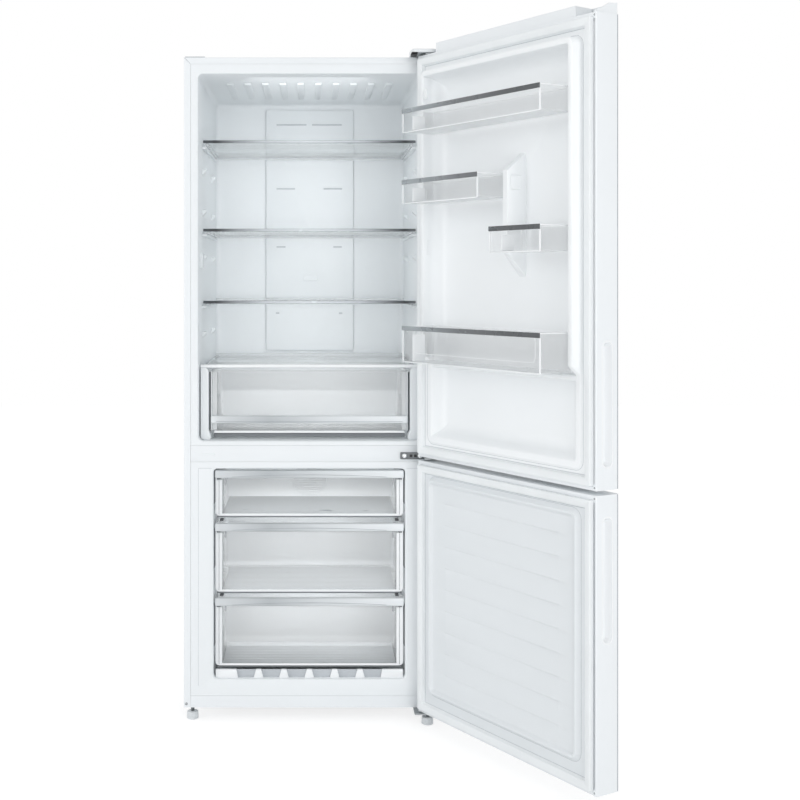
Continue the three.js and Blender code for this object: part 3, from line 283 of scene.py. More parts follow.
WHITE_PAINT = Finish(
    "white_paint", "painted_steel", (0.83, 0.862, 0.885), 0.3, coat=0.25, mottle=0.006,
    gloss_spread=0.02, grain_scale=420.0, grain_depth=0.00001, grain_strength=0.06,
)
LINER_PLASTIC = Finish(
    "liner_plastic", "liner_plastic", (0.83, 0.862, 0.882), 0.34, mottle=0.008,
    grain_scale=260.0, grain_depth=0.00002, grain_strength=0.1,
)
DOOR_LINER = replace(
    LINER_PLASTIC, name="door_liner_plastic", slot="foamed_door_liner", colour=(0.89, 0.915, 0.93),
)
# Painted shade: the same door liner plastic, darkened to stand in for the dimmer light on the lower
# door.
SHADED_DOOR_LINER = replace(
    DOOR_LINER, name="shaded_freezer_door_liner", colour=(0.76, 0.793, 0.815),
)
CAP_PLASTIC = Finish(
    "cap_plastic", "cap_plastic", (0.82, 0.85, 0.872), 0.42, mottle=0.01, grain_scale=900.0,
)
GASKET = Finish(
    "gasket_vinyl", "gasket_rubber", (0.83, 0.86, 0.875), 0.6, mottle=0.02, mottle_scale=9.0,
    grain_scale=500.0, grain_depth=0.00003,
)
CLEAR = ClearFinish(
    "clear_plastic", "clear_plastic", (0.90, 0.92, 0.93), 0.08, gloss_spread=0.03, mottle=0.01,
    facing_alpha=0.05, slant_alpha=0.5,
)
BIN_CLEAR = replace(
    CLEAR, name="bin_plastic", colour=(0.86, 0.885, 0.90), facing_alpha=0.03, slant_alpha=0.12,
)
FROSTED = ClearFinish(
    "frosted_edges", "clear_plastic", (0.86, 0.885, 0.90), 0.2, gloss_spread=0.05, mottle=0.01,
    facing_alpha=0.62, slant_alpha=0.95,
)
RAIL_CLEAR = replace(FROSTED, name="rail_plastic", facing_alpha=0.2, slant_alpha=0.5)
GLASS = ClearFinish(
    "shelf_glass", "tempered_glass", (0.78, 0.83, 0.83), 0.03, gloss_spread=0.01, mottle=0.01,
    facing_alpha=0.10, slant_alpha=0.45,
)
ZINC = Finish(
    "zinc_plate", "zinc_steel", (0.36, 0.38, 0.39), 0.36, metallic=0.85, mottle=0.08,
    mottle_scale=60.0, gloss_spread=0.1, grain_scale=1200.0,
)
GALVANISED = Finish(
    "galvanised_sheet", "galvanised_steel", (0.55, 0.58, 0.6), 0.42, metallic=0.7, mottle=0.1,
    mottle_scale=34.0, gloss_spread=0.12, grain_scale=900.0,
)
BLACK_ENAMEL = Finish(
    "black_enamel", "black_enamel", (0.018, 0.019, 0.021), 0.28, coat=0.3, mottle=0.15,
    mottle_scale=20.0, grain_scale=500.0, grain_depth=0.00003,
)
FINS = Finish(
    "aluminium_fins", "aluminium_fins", (0.62, 0.64, 0.65), 0.35, metallic=0.9, mottle=0.06,
    mottle_scale=40.0, stretch=(1.0, 1.0, 12.0),
)
GREY_PLASTIC = Finish(
    "grey_plastic", "grey_plastic", (0.5, 0.53, 0.55), 0.45, mottle=0.03, grain_scale=900.0,
)
BLACK_PLASTIC = Finish(
    "black_plastic", "black_plastic", (0.022, 0.023, 0.025), 0.55, mottle=0.1,
    mottle_scale=25.0, grain_scale=800.0, grain_depth=0.00004,
)
FOAM = Finish(
    "rigid_foam", "insulation", (0.78, 0.70, 0.45), 0.9, mottle=0.1, mottle_scale=30.0,
    grain_scale=300.0, grain_depth=0.0004, grain_strength=0.5,
)
# Dark grey for the mitre seams and for painted shade lines along bars, trims and edges.
SHADE_LINE = Finish("seam_shade", "grey_plastic", (0.30, 0.33, 0.36), 0.6, mottle=0.05)
WHITE_EDGE = Finish(
    "white_edge", "clear_plastic", (0.88, 0.90, 0.915), 0.22, mottle=0.006, grain_scale=800.0,
)
# Painted shade: one grey for the freezer drawers' floors in three tones, darkest in the top drawer
# and lightest in the bottom one, for the light that reaches each.
UPPER_FLOOR_SHADE = Finish(
    "upper_floor_shade", "clear_plastic", (0.34, 0.365, 0.38), 0.3, mottle=0.02, grain_scale=600.0,
)
MIDDLE_FLOOR_SHADE = replace(UPPER_FLOOR_SHADE, name="middle_floor_shade", colour=(0.50, 0.53, 0.55))
LOWER_FLOOR_SHADE = replace(UPPER_FLOOR_SHADE, name="lower_floor_shade", colour=(0.78, 0.81, 0.83))
FOOT_PLASTIC = Finish(
    "foot_plastic", "grey_plastic", (0.72, 0.75, 0.77), 0.4, mottle=0.02, grain_scale=900.0,
)
BRIGHT_STEEL = Finish(
    "bright_steel", "zinc_steel", (0.75, 0.77, 0.78), 0.22, metallic=0.9, mottle=0.04,
    mottle_scale=60.0,
)
SOFT_SHADE = Finish("soft_shade", "grey_plastic", (0.50, 0.53, 0.56), 0.6, mottle=0.05)
# Painted shade: near-black for the gaps at the freezer drawers' corners.
DARK_GAP = Finish("dark_gap", "black_plastic", (0.09, 0.095, 0.10), 0.7, mottle=0.05)
HINGE_STEEL = Finish(
    "hinge_steel", "zinc_steel", (0.17, 0.18, 0.187), 0.4, metallic=0.6, mottle=0.1,
    mottle_scale=60.0, gloss_spread=0.1,
)
# Dark grey for painted shade in the gaps beside and under the drawers, and for the freezer drawers'
# hooks.
GREY_GAP = Finish("grey_gap", "grey_plastic", (0.22, 0.235, 0.25), 0.7, mottle=0.05)
# Painted reflections: the shelf trims' bands, dark at the ends and light in the middle.
SHELF_TRIM = PaintedReflectionFinish(
    "shelf_trim", "silver_trim", (0.5, 0.5, 0.5), 0.25, metallic=0.3,
    bands=(
        (0.0, (0.10, 0.11, 0.12)), (0.06, (0.06, 0.065, 0.07)), (0.16, (0.32, 0.34, 0.36)),
        (0.5, (0.42, 0.45, 0.47)), (0.8, (0.27, 0.29, 0.31)), (0.95, (0.08, 0.085, 0.09)),
        (1.0, (0.2, 0.21, 0.22)),
    ),
    across=(0.022, 0.632),
)
# Painted reflections: the handle bars' bands, light at the ends and darker in the middle.
SILVER_BAR = PaintedReflectionFinish(
    "silver_bar", "silver_trim", (0.6, 0.62, 0.63), 0.42, metallic=0.1, grain_depth=0.000002,
    bands=(
        (0.0, (0.80, 0.83, 0.85)), (0.05, (0.62, 0.65, 0.67)), (0.3, (0.45, 0.48, 0.50)),
        (0.55, (0.62, 0.65, 0.67)), (0.9, (0.76, 0.79, 0.81)), (1.0, (0.84, 0.87, 0.89)),
    ),
    across=(0.05, 0.60),
)
# Painted reflection and shade: the bin strips' bands, lighter at one end and nearly black at the
# other.
BIN_STRIP = PaintedReflectionFinish(
    "bin_strip", "dark_trim", (0.2, 0.2, 0.2), 0.28, metallic=0.3,
    bands=(
        (0.0, (0.40, 0.43, 0.45)), (0.3, (0.17, 0.18, 0.19)), (0.6, (0.10, 0.107, 0.113)),
        (1.0, (0.07, 0.075, 0.08)),
    ),
    across=(0.60, 0.93),
)


# ---- Shapes ------------------------------------------------------------------------------------
class Axis(Enum):
    """The direction that a shape is pulled along, and how flat sizes map to it."""

    X = 0
    Y = 1
    Z = 2

    def place(self, a: float, b: float, level: float) -> Point:
        """Return the point at (a, b) across this axis and at a level along it.

        Args:
            a: The first size across the axis.
            b: The second one.
            level: The place along it.

        Returns:
            The point.
        """
        if self is Axis.X:
            return (level, a, b)
        if self is Axis.Y:
            return (a, level, b)
        return (a, b, level)


@dataclass(frozen=True)
class Section:
    """A rounded rectangle across an axis, at a level along it."""

    level: float
    a: Span
    b: Span
    radius: float

    def drawn_in(self, by: float, level: float, radius: Optional[float] = None) -> "Section":
        """Return the section made smaller by a distance all round.

        Args:
            by: The distance.
            level: Where the new section lies.
            radius: Of its corners, or by default what the distance leaves.

        Returns:
            The new section.
        """
        kept = max(0.4, self.radius - by) if radius is None else radius
        a = (self.a[0] + by, self.a[1] - by)
        return Section(level, a, (self.b[0] + by, self.b[1] - by), kept)

    def steps(self, *steps: Span) -> list["Section"]:
        """Return the section drawn in by a distance, at a level, for each step."""
        return [self.drawn_in(by, level) for by, level in steps]


class Shape:
    """A mesh in millimetres, built up with mesh operators."""

    def __init__(self) -> None:
        """Start an empty shape."""
        self.bm = bmesh.new()

    def block(
        self, x: Span, y: Span, z: Span, radius: float = 0.0, segments: int = 2,
    ) -> "Shape":
        """Add a block with rounded edges.

        Args:
            x: Its reach across.
            y: Its reach in depth.
            z: Its reach in height.
            radius: Of the rounded edges, or 0.
            segments: Facets in each rounded edge.

        Returns:
            The shape.
        """
        made = bmesh.ops.create_cube(self.bm, size=1.0)["verts"]
        size = (x[1] - x[0], y[1] - y[0], z[1] - z[0])
        centre = ((x[0] + x[1]) / 2, (y[0] + y[1]) / 2, (z[0] + z[1]) / 2)
        bmesh.ops.scale(self.bm, vec=size, verts=made)
        bmesh.ops.translate(self.bm, vec=centre, verts=made)
        if radius > 0:
            edges = {e for v in made for e in v.link_edges}
            self.round(edges, min(radius, min(size) / 2 - TINY), segments)
        return self

    def pair(self, x: Span, y: Span, z: Span, radius: float, segments: int = 2) -> "Shape":
        """Add a rounded block on each side of the middle."""
        self.block((-x[1], -x[0]), y, z, radius, segments)
        return self.block(x, y, z, radius, segments)

    def soften(self, radius: float) -> "Shape":
        """Round every edge at which the faces meet crisply."""
        crisp = [e for e in self.bm.edges if e.calc_face_angle(0.0) > CRISP_ANGLE]
        return self.round(crisp, radius)

    def pull(self, edges: Iterable, by: Point) -> None:
        """Pull new faces out of open edges.

        Args:
            edges: The edges.
            by: How far and which way.
        """
        grown = bmesh.ops.extrude_edge_only(self.bm, edges=list(edges))["geom"]
        moved = [g for g in grown if isinstance(g, bmesh.types.BMVert)]
        bmesh.ops.translate(self.bm, vec=by, verts=moved)

    def round(self, edges: Iterable, radius: float, segments: int = 2) -> "Shape":
        """Round edges of the shape.

        Args:
            edges: The edges.
            radius: Of the rounding.
            segments: Facets in it.

        Returns:
            The shape.
        """
        bmesh.ops.bevel(
            self.bm, geom=list(edges), offset=radius, offset_type="OFFSET", segments=segments,
            profile=0.5, affect="EDGES", material=-1, clamp_overlap=True,
        )
        return self

    def ring(self, axis: Axis, section: Section, segments: int) -> bmesh.types.BMFace:
        """Add one rounded rectangle.

        Args:
            axis: What it lies across.
            section: The rectangle.
            segments: Facets in each corner.

        Returns:
            Its face.
        """
        made = bmesh.ops.create_grid(self.bm, x_segments=1, y_segments=1, size=0.5)["verts"]
        wide, high = section.a[1] - section.a[0], section.b[1] - section.b[0]
        middle = (sum(section.a) / 2, sum(section.b) / 2)
        for v in made:
            a, b = middle[0] + v.co.x * wide, middle[1] + v.co.y * high
            v.co = axis.place(a, b, section.level)
        most = min(wide, high) / 2 - TINY
        rounded = bmesh.ops.bevel(
            self.bm, geom=made, offset=max(0.05, min(section.radius, most)),
            offset_type="OFFSET", segments=segments, profile=0.5, affect="VERTICES",
            material=-1, clamp_overlap=False,
        )
        return max(rounded["verts"][0].link_faces, key=lambda f: len(f.verts))

    def loft(
        self, axis: Axis, sections: Sequence[Section], segments: int = 4,
        caps: tuple[bool, bool] = (True, True),
    ) -> "Shape":
        """Add a skin through rounded rectangles.

        Args:
            axis: What the sections lie across.
            sections: The rounded rectangles in order.
            segments: Facets in each corner.
            caps: Whether the first and the last one are closed.

        Returns:
            The shape.
        """
        faces = [self.ring(axis, section, segments) for section in sections]
        settled = [{v: v.co.copy() for v in face.verts} for face in faces]
        for step, (face, section) in enumerate(zip(faces, sections)):
            self.spread(axis, face, section, step)
        loops = [list(face.edges) for face in faces]
        for near, far in zip(loops, loops[1:]):
            bmesh.ops.bridge_loops(self.bm, edges=near + far)
        for places in settled:
            for v, co in places.items():
                v.co = co
        drop = [f for i, f in enumerate(faces) if not (
            (i == 0 and caps[0]) or (i == len(faces) - 1 and caps[1]))]
        bmesh.ops.delete(self.bm, geom=drop, context="FACES_ONLY")
        return self

    @staticmethod
    def spread(axis: Axis, face: bmesh.types.BMFace, section: Section, step: int) -> None:
        """Stand a ring apart from the others, at one common size, so that it bridges true.

        Args:
            axis: What it lies across.
            face: The ring.
            section: Its size.
            step: Its number in the row.
        """
        wide, high = section.a[1] - section.a[0], section.b[1] - section.b[0]
        across = [i for i in range(3) if i != axis.value]
        for v in face.verts:
            a = (v.co[across[0]] - sum(section.a) / 2) / wide
            b = (v.co[across[1]] - sum(section.b) / 2) / high
            v.co = axis.place(a, b, step)

    def prism(self, axis: Axis, outline: Sequence[Span], span: Span) -> "Shape":
        """Add a flat outline pulled along an axis.

        Args:
            axis: What the outline is pulled along.
            outline: Its corners.
            span: Where it starts and ends.

        Returns:
            The shape.
        """
        corners = [self.bm.verts.new(axis.place(a, b, span[0])) for a, b in outline]
        face = self.bm.faces.new(corners)
        pulled = bmesh.ops.extrude_face_region(self.bm, geom=[face])["geom"]
        far = [g for g in pulled if isinstance(g, bmesh.types.BMVert)]
        bmesh.ops.translate(self.bm, vec=axis.place(0, 0, span[1] - span[0]), verts=far)
        return self

    def rim(self, axis: Axis, outer: Section, width: float, rise: float) -> "Shape":
        """Add a raised rounded border.

        Args:
            axis: What it lies across.
            outer: Its outer outline, at the level that it stands on.
            width: Of the border.
            rise: How far it stands up along the axis, or down where this is negative.

        Returns:
            The shape.
        """
        top, soft = outer.level + rise, min(width / 4, abs(rise) / 3)
        low = top - math.copysign(soft, rise)
        return self.loft(axis, [
            outer, outer.drawn_in(0.0, low), outer.drawn_in(soft, top),
            outer.drawn_in(width - soft, top), outer.drawn_in(width, low),
            outer.drawn_in(width, outer.level), outer,
        ], 4, caps=(False, False))

    def tub(
        self, x: Span, y: Span, z: Span, radius: float, wall: float, draft: float,
    ) -> "Shape":
        """Add an open-topped vessel whose walls lean out towards its rim.

        Args:
            x: Its reach across at the rim.
            y: Its reach in depth at the rim.
            z: Its reach in height.
            radius: Of its upright corners.
            wall: The thickness of its wall.
            draft: How far each wall leans out.

        Returns:
            The shape.
        """
        (low, high), top = z, Section(z[1], x, y, radius)
        foot = top.drawn_in(draft, low, radius)
        floor = low + wall
        return self.loft(Axis.Z, [
            foot.drawn_in(4.0, low), foot.drawn_in(1.2, low + 1.2),
            foot.drawn_in(0.0, low + 4.0, radius),
            top.drawn_in(0.0, high - 0.6), top.drawn_in(0.6, high), top.drawn_in(wall - 0.6, high),
            top.drawn_in(wall, high - 0.6), foot.drawn_in(wall, floor + 4.0),
            foot.drawn_in(wall + 1.2, floor + 1.2), foot.drawn_in(wall + 4.0, floor),
        ], 5)

    def cut(self, point: Point, axis: Axis) -> "Shape":
        """Cut every face along a plane, and keep both sides.

        Args:
            point: On the plane.
            axis: What the plane lies across.

        Returns:
            The shape.
        """
        geom = [*self.bm.verts, *self.bm.edges, *self.bm.faces]
        bmesh.ops.bisect_plane(
            self.bm, geom=geom, dist=TINY, plane_co=point, plane_no=axis.place(0, 0, 1),
        )
        return self

    def window(self, y: Span, z: Span, beyond: float) -> "Shape":
        """Open a window in a side.

        Args:
            y: Its reach in depth.
            z: Its reach in height.
            beyond: The X below which the side's faces lie.

        Returns:
            The shape.
        """
        for level in y:
            self.cut((0, level, 0), Axis.Y)
        for level in z:
            self.cut((0, 0, level), Axis.Z)
        drop = []
        for face in self.bm.faces:
            middle = face.calc_center_median()
            if middle.x < beyond and y[0] < middle.y < y[1] and z[0] < middle.z < z[1]:
                drop.append(face)
        bmesh.ops.delete(self.bm, geom=drop, context="FACES")
        return self

    def lathe(self, profile: Sequence[Span], centre: Point, axis: Axis, steps: int = 24) -> "Shape":
        """Add a turned shape.

        Args:
            profile: Distances from the axis and along it.
            centre: A point on the axis, where the profile starts from.
            axis: The direction of the axis.
            steps: Facets around.

        Returns:
            The shape.
        """
        corners = []
        for out, along in profile:
            offset = Vector(axis.place(out, 0.0, along))
            corners.append(self.bm.verts.new(Vector(centre) + offset))
        edges = [self.bm.edges.new(pair) for pair in zip(corners, corners[1:])]
        bmesh.ops.spin(
            self.bm, geom=corners + edges, cent=centre, axis=Vector(axis.place(0, 0, 1)),
            angle=math.tau, steps=steps, use_merge=True, use_duplicate=False,
        )
        return self

    def solidify(self, thickness: float) -> "Shape":
        """Give an open skin a wall, after its faces are turned one way.

        Args:
            thickness: Of the wall.

        Returns:
            The shape.
        """
        self.clean()
        bmesh.ops.solidify(self.bm, geom=list(self.bm.faces), thickness=thickness)
        return self

    def clean(self) -> "Shape":
        """Merge doubled corners and turn the faces outwards."""
        bmesh.ops.remove_doubles(self.bm, verts=list(self.bm.verts), dist=0.01)
        bmesh.ops.dissolve_degenerate(self.bm, edges=list(self.bm.edges), dist=0.005)
        bmesh.ops.recalc_face_normals(self.bm, faces=list(self.bm.faces))
        return self

    def join(self, other: "Shape") -> "Shape":
        """Add another shape's mesh to this one.

        Args:
            other: The other shape, which is used up.

        Returns:
            The shape.
        """
        carried = bpy.data.meshes.new("carried")
        other.bm.to_mesh(carried)
        other.bm.free()
        self.bm.from_mesh(carried)
        bpy.data.meshes.remove(carried)
        return self

    def turned(self, angle: float, axis: Axis, centre: Point) -> "Shape":
        """Turn the whole shape.

        Args:
            angle: In degrees.
            axis: The direction of the axis.
            centre: A point on it.

        Returns:
            The shape.
        """
        matrix = Matrix.Rotation(math.radians(angle), 3, Vector(axis.place(0, 0, 1)))
        bmesh.ops.rotate(self.bm, cent=centre, matrix=matrix, verts=list(self.bm.verts))
        return self

    def piece(
        self, name: str, seat: Seat, finish: Finish, replaces: Sequence[str] = (),
        crease: float = 38.0,
    ) -> None:
        """Make the finished piece.

        Args:
            name: The piece's name.
            seat: Where it goes and what carries it.
            finish: What it is dressed in.
            replaces: The CAD nodes that it stands for.
            crease: The angle in degrees from which an edge looks sharp.
        """
        self.clean()
        self.bm.transform(seat.matrix())
        mesh = bpy.data.meshes.new(name)
        self.bm.to_mesh(mesh)
        self.bm.free()
        mesh.materials.append(finish.material())
        mesh.shade_smooth()
        mesh.set_sharp_from_angle(angle=math.radians(crease))
        made = bpy.data.objects.new(name, mesh)
        bpy.context.scene.collection.objects.link(made)
        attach(made, seat.body)
        if replaces:
            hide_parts(*replaces)
        log.info("%s: %d faces, rides on %s", name, len(mesh.polygons), seat.body)


def is_upright(edge: bmesh.types.BMEdge) -> bool:
    """Say whether an edge stands upright."""
    run = edge.verts[0].co - edge.verts[1].co
    return abs(run.z) > 10 * run.xy.length


def screw(shape: Shape, centre: Point, radius: float, outward: float) -> None:
    """Add a pan head screw that is driven in from the front or the back.

    Args:
        shape: What it is added to.
        centre: Where its head sits.
        radius: Of its head.
        outward: 1 where the head faces the back and -1 where it faces the front, or less than
            that for a flat head.
    """
    rise = radius * 0.45 * outward
    shape.lathe([
        (0.0, rise * 0.55), (radius * 0.12, rise * 0.55), (radius * 0.16, rise),
        (radius * 0.5, rise * 0.95), (radius * 0.85, rise * 0.6), (radius, 0.0),
        (radius, -rise * 0.2),
    ], centre, Axis.Y, 20)


# ---- Cabinet -----------------------------------------------------------------------------------
@dataclass
class Cabinet:
    """The painted shell, the fridge's liner, the rail between the mouths and the back."""

    half: float = 350.0
    top: float = 1850.0
    bottom: float = 36.0
    depth: float = 598.0
    flange: float = 18.5
    sheet: float = 2.0
    edge_radius: float = 2.2
    rim_half: float = 331.2
    rail: Span = (721.0, 767.0)
    mouth: Section = Section(0.8, (-331.2, 331.2), (767.3, 1831.2), 1.0)
    fridge: Section = Section(3.6, (-310.0, 310.0), (779.0, 1804.0), 14.0)
    fridge_depth: float = 545.0
    side_draft: float = 8.0
    top_draft: float = 10.0
    rib_count: int = 10
    rib_pitch: float = 51.4
    rib_width: float = 20.0
    rib_span: Span = (150.0, 480.0)
    screw_x: float = 338.0
    screw_pitch: float = 218.0
    plug_places: tuple[Span, ...] = ((-150.0, 520.0), (150.0, 520.0), (0.0, 1500.0))

    def build(self) -> None:
        """Build the cabinet's pieces."""
        self.shell()
        self.fridge_lining()
        self.ceiling_ribs()
        self.mullion()
        self.mitres()
        self.back()

    def shell(self) -> None:
        """Build the folded sheet around the cabinet, with its mitred front flange."""
        shape = Shape().block((-self.half, self.half), (0, self.depth), (self.bottom, self.top))
        bm = shape.bm
        bm.normal_update()
        front = next(f for f in bm.faces if f.normal.y < -0.5)
        open_ends = [f for f in bm.faces if f.normal.y > 0.5 or f.normal.z < -0.5]
        bmesh.ops.delete(bm, geom=open_ends, context="FACES")
        bmesh.ops.inset_region(bm, faces=[front], thickness=self.flange, use_even_offset=True)
        bmesh.ops.delete(bm, geom=[front], context="FACES")
        hard = [e for e in bm.edges if len(e.link_faces) == 2 and e.calc_face_angle(0.0) > 1.0]
        shape.round(hard, self.edge_radius, 3)
        shape.solidify(self.sheet)
        shape.piece("cabinet_shell", CABINET, WHITE_PAINT, ["outer_wrapper"])

    def mitres(self) -> None:
        """Build the fine mitre seams in the flange's top corners."""
        shape = Shape()
        reach, level = self.flange * 0.66, self.top - self.flange / 2
        for side in SIDES:
            x = side * (self.half - self.flange / 2)
            seam = Shape().block((x - reach, x + reach), (-0.12, 0.3), (level - 0.4, level + 0.4))
            seam.turned(-45.0 * side, Axis.Y, (x, 0.0, level))
            shape.join(seam)
        shape.piece("flange_mitres", CABINET, SHADE_LINE)

    def fridge_section(self, depth: float, by: float = 0.0) -> Section:
        """Return the fridge's inside across its depth.

        Args:
            depth: Where it is taken.
            by: How far it is drawn in.

        Returns:
            The section.
        """
        share = depth / self.fridge_depth
        x = self.fridge.a[1] - self.side_draft * share - by
        z = (self.fridge.b[0] + by, self.fridge.b[1] - self.top_draft * share - by)
        return Section(depth, (-x, x), z, max(1.0, self.fridge.radius - by / 2))

    def fridge_lining(self) -> None:
        """Build the fridge's moulded liner, rounded at its mouth and at its back."""
        back = self.fridge_depth
        steps = (
            (0.8, -2.8), (1.5, -1.2), (3.6, 0.0), (back - 16, 0.0), (back - 9, 1.2),
            (back - 3.6, 4.8), (back - 0.9, 10.0), (back, 16.0),
        )
        sections = [self.mouth, *(self.fridge_section(depth, by) for depth, by in steps)]
        shape = Shape().loft(Axis.Y, sections, 5, caps=(False, True))
        shape.solidify(-LINER_SHEET)
        shape.piece("fridge_lining", CABINET, LINER_PLASTIC, ["fridge_liner"])

    def ceiling_ribs(self) -> None:
        """Build the shallow ribs along the fridge's ceiling."""
        shape = Shape()
        first, half = -(self.rib_count - 1) / 2 * self.rib_pitch, self.rib_width / 2
        z = self.fridge.b[1] - self.top_draft * sum(self.rib_span) / 2 / self.fridge_depth
        for rib in range(self.rib_count):
            x = first + rib * self.rib_pitch
            shape.block((x - half, x + half), self.rib_span, (z - 2.6, z + 3.5), 2.4, 3)
        shape.piece("ceiling_ribs", CABINET, LINER_PLASTIC)

    def mullion(self) -> None:
        """Build the rail between the two mouths, and the blanking pad on it."""
        shape = Shape().block((-self.rim_half, self.rim_half), (0, 24), self.rail, 1.2, 2)
        shape.piece("mullion_rail", CABINET, CAP_PLASTIC, ["centre_rail"])
        pad = Shape().block((-305, -263), (-0.9, 2), (739, 744.6), 0.8, 2)
        pad.piece("rail_blanking_pad", CABINET, CAP_PLASTIC)

    def back(self) -> None:
        """Build the back sheet with its pressed frames and screws."""
        low, high = 287.6, self.top - self.sheet - 0.3
        shape = Shape().block((-347.7, 347.7), (595.7, 597.7), (low, high))
        bm = shape.bm
        bm.normal_update()
        sheet = next(f for f in bm.faces if f.normal.y > 0.5)
        for width, rise in ((34, 0.0), (5, -1.4), (26, 0.0), (5, 1.2)):
            bmesh.ops.inset_region(
                bm, faces=[sheet], thickness=width, depth=rise, use_even_offset=True,
            )
        shape.piece("back_sheet", CABINET, GALVANISED, ["back_panel"], crease=20)
        self.back_fittings(low, high)

    def back_fittings(self, low: float, high: float) -> None:
        """Build the back's screws, foaming plugs and wiring cover.

        Args:
            low: The back sheet's lower edge.
            high: Its upper edge.
        """
        screws, level = Shape(), low + 14.0
        while level < high:
            for side in SIDES:
                screw(screws, (side * self.screw_x, self.depth - 0.5, level), 4.0, 0.12)
            level += self.screw_pitch
        screws.piece("back_screws", CABINET, ZINC)
        plugs, dome = Shape(), [(0.0, 1.6), (9.0, 1.6), (13.0, 1.0), (15.0, -0.4), (0.0, -0.4)]
        for x, z in self.plug_places:
            plugs.lathe(dome, (x, self.depth - 2.0, z), Axis.Y, 28)
        plugs.piece("foaming_plugs", CABINET, GREY_PLASTIC)
        cover = Section(self.depth - 2.2, (170.0, 262.0), (332.0, 404.0), 8.0)
        rounded = cover.steps((0.4, cover.level + 1.2), (1.4, cover.level + 2.0))
        wiring = Shape().loft(Axis.Y, [cover, *rounded], 4)
        wiring.piece("wiring_cover", CABINET, GREY_PLASTIC)


@dataclass
class FreezerRoom:
    """The freezer's liner, which steps up over the machine bay, and its toothed sill."""

    mouth: Section = Section(0.8, (-331.2, 331.2), (68.8, 720.7), 1.0)
    room: Section = Section(3.6, (-268.0, 268.0), (115.0, 702.0), 12.0)
    depth: float = 515.0
    step_depth: float = 300.0
    step_top: float = 345.0
    sill_half: float = 262.0
    sill_y: Span = (11.0, 20.0)
    sill_z: Span = (114.6, 139.0)
    tooth_pitch: float = 71.0
    side_shade_spans: tuple[Span, ...] = ((600.0, 700.0), (420.0, 528.0), (200.0, 318.0))
    corner_shade_levels: Span = (552.0, 341.0)
    recess_shade_x: float = 309.2
    recess_shade_y: Span = (0.6, 1.4)
    tooth_width: float = 28.0
    end_width: float = 58.0

    def build(self) -> None:
        """Build the liner, the sill and the painted shade in the gaps around the drawers."""
        self.lining()
        self.sill()
        self.gap_shading()

    def gap_shading(self) -> None:
        """Build the painted shade in the gaps beside the drawers and at their corners, and the
        painted shade lines along the step inside the mouth.
        """
        rails, corner_shade_blocks, recess_shade = Shape(), Shape(), Shape()
        # Dark grey strips are painted shade in the narrow gaps between the drawers' sides and the
        # walls.
        for z in self.side_shade_spans:
            rails.pair((266.2, 268.0), (23.0, 60.0), z, 0.6)
        # Near-black blocks are painted shade in the gaps at the drawers' corners.
        corner_shade_blocks.pair((236.0, 267.0), (24.0, 60.0), (698.4, 701.4), 0.8)
        for level in self.corner_shade_levels:
            corner_shade_blocks.pair((241.0, 251.0), (21.0, 40.0), (level, level + 5.0), 1.2)
        # Thin grey lines are painted shade along the step inside the mouth.
        recess_shade.pair((self.recess_shade_x, 310.0), self.recess_shade_y, (96.0, 703.0), 0.2, 1)
        recess_shade.pair((272.0, 309.0), self.recess_shade_y, (702.6, 703.6), 0.2, 1)
        rails.piece("drawer_side_shade", CABINET, GREY_GAP)
        corner_shade_blocks.piece("drawer_corner_shade", CABINET, DARK_GAP)
        recess_shade.piece("mouth_shade_lines", CABINET, SOFT_SHADE)

    def room_section(self, depth: float, by: float = 0.0, raised: bool = False) -> Section:
        """Return the inside across its depth.

        Args:
            depth: Where it is taken.
            by: How far it is drawn in.
            raised: Whether it lies over the step, or in front of it.

        Returns:
            The section.
        """
        low = self.step_top if raised else self.room.b[0]
        x, z = self.room.a[1] - by, (low + by, self.room.b[1] - by)
        return Section(depth, (-x, x), z, max(1.0, self.room.radius - by / 2))

    def lining(self) -> None:
        """Build the moulded liner, rounded at its mouth, its step and its back."""
        step, back = self.step_depth, self.depth
        front = ((0.8, -3.2), (1.6, -1.3), (4.0, 0.0), (step, 0.0))
        over = ((step + 0.4, 0.0), (back - 10, 0.0), (back - 3.0, 3.0), (back, 10.0))
        sections = [self.mouth, *(self.room_section(depth, by) for depth, by in front)]
        sections += [self.room_section(depth, by, raised=True) for depth, by in over]
        shape = Shape().loft(Axis.Y, sections, 4, caps=(False, True))
        shape.solidify(-LINER_SHEET)
        shape.piece("freezer_lining", CABINET, LINER_PLASTIC, ["freezer_liner"])

    def sill(self) -> None:
        """Build the low sill in front of the bottom drawer, with its row of teeth and the painted
        shade between them.
        """
        shape, (low, high) = Shape(), self.sill_z
        inner = self.sill_half - self.end_width
        end = ((self.sill_half, low), (inner - 5, low), (inner, high), (self.sill_half, high))
        for side in SIDES:
            shape.prism(Axis.Y, [(side * x, z) for x, z in end], self.sill_y)
        for tooth in range(-2, 3):
            x, foot, tip = tooth * self.tooth_pitch, self.tooth_width / 2, self.tooth_width / 4
            teeth = [(x - foot, low), (x + foot, low), (x + tip, high), (x - tip, high)]
            shape.prism(Axis.Y, teeth, self.sill_y)
        shape.clean()
        shape.soften(1.5)
        shape.piece("freezer_sill", CABINET, WHITE_EDGE)
        # A grey plate behind the teeth is painted shade in the gaps between them.
        x = (-self.sill_half, self.sill_half)
        tooth_gap_shade = Shape().block(x, (19.0, 22.0), (low, high - 2), 1.0)
        tooth_gap_shade.piece("freezer_sill_tooth_shade", CABINET, SOFT_SHADE)


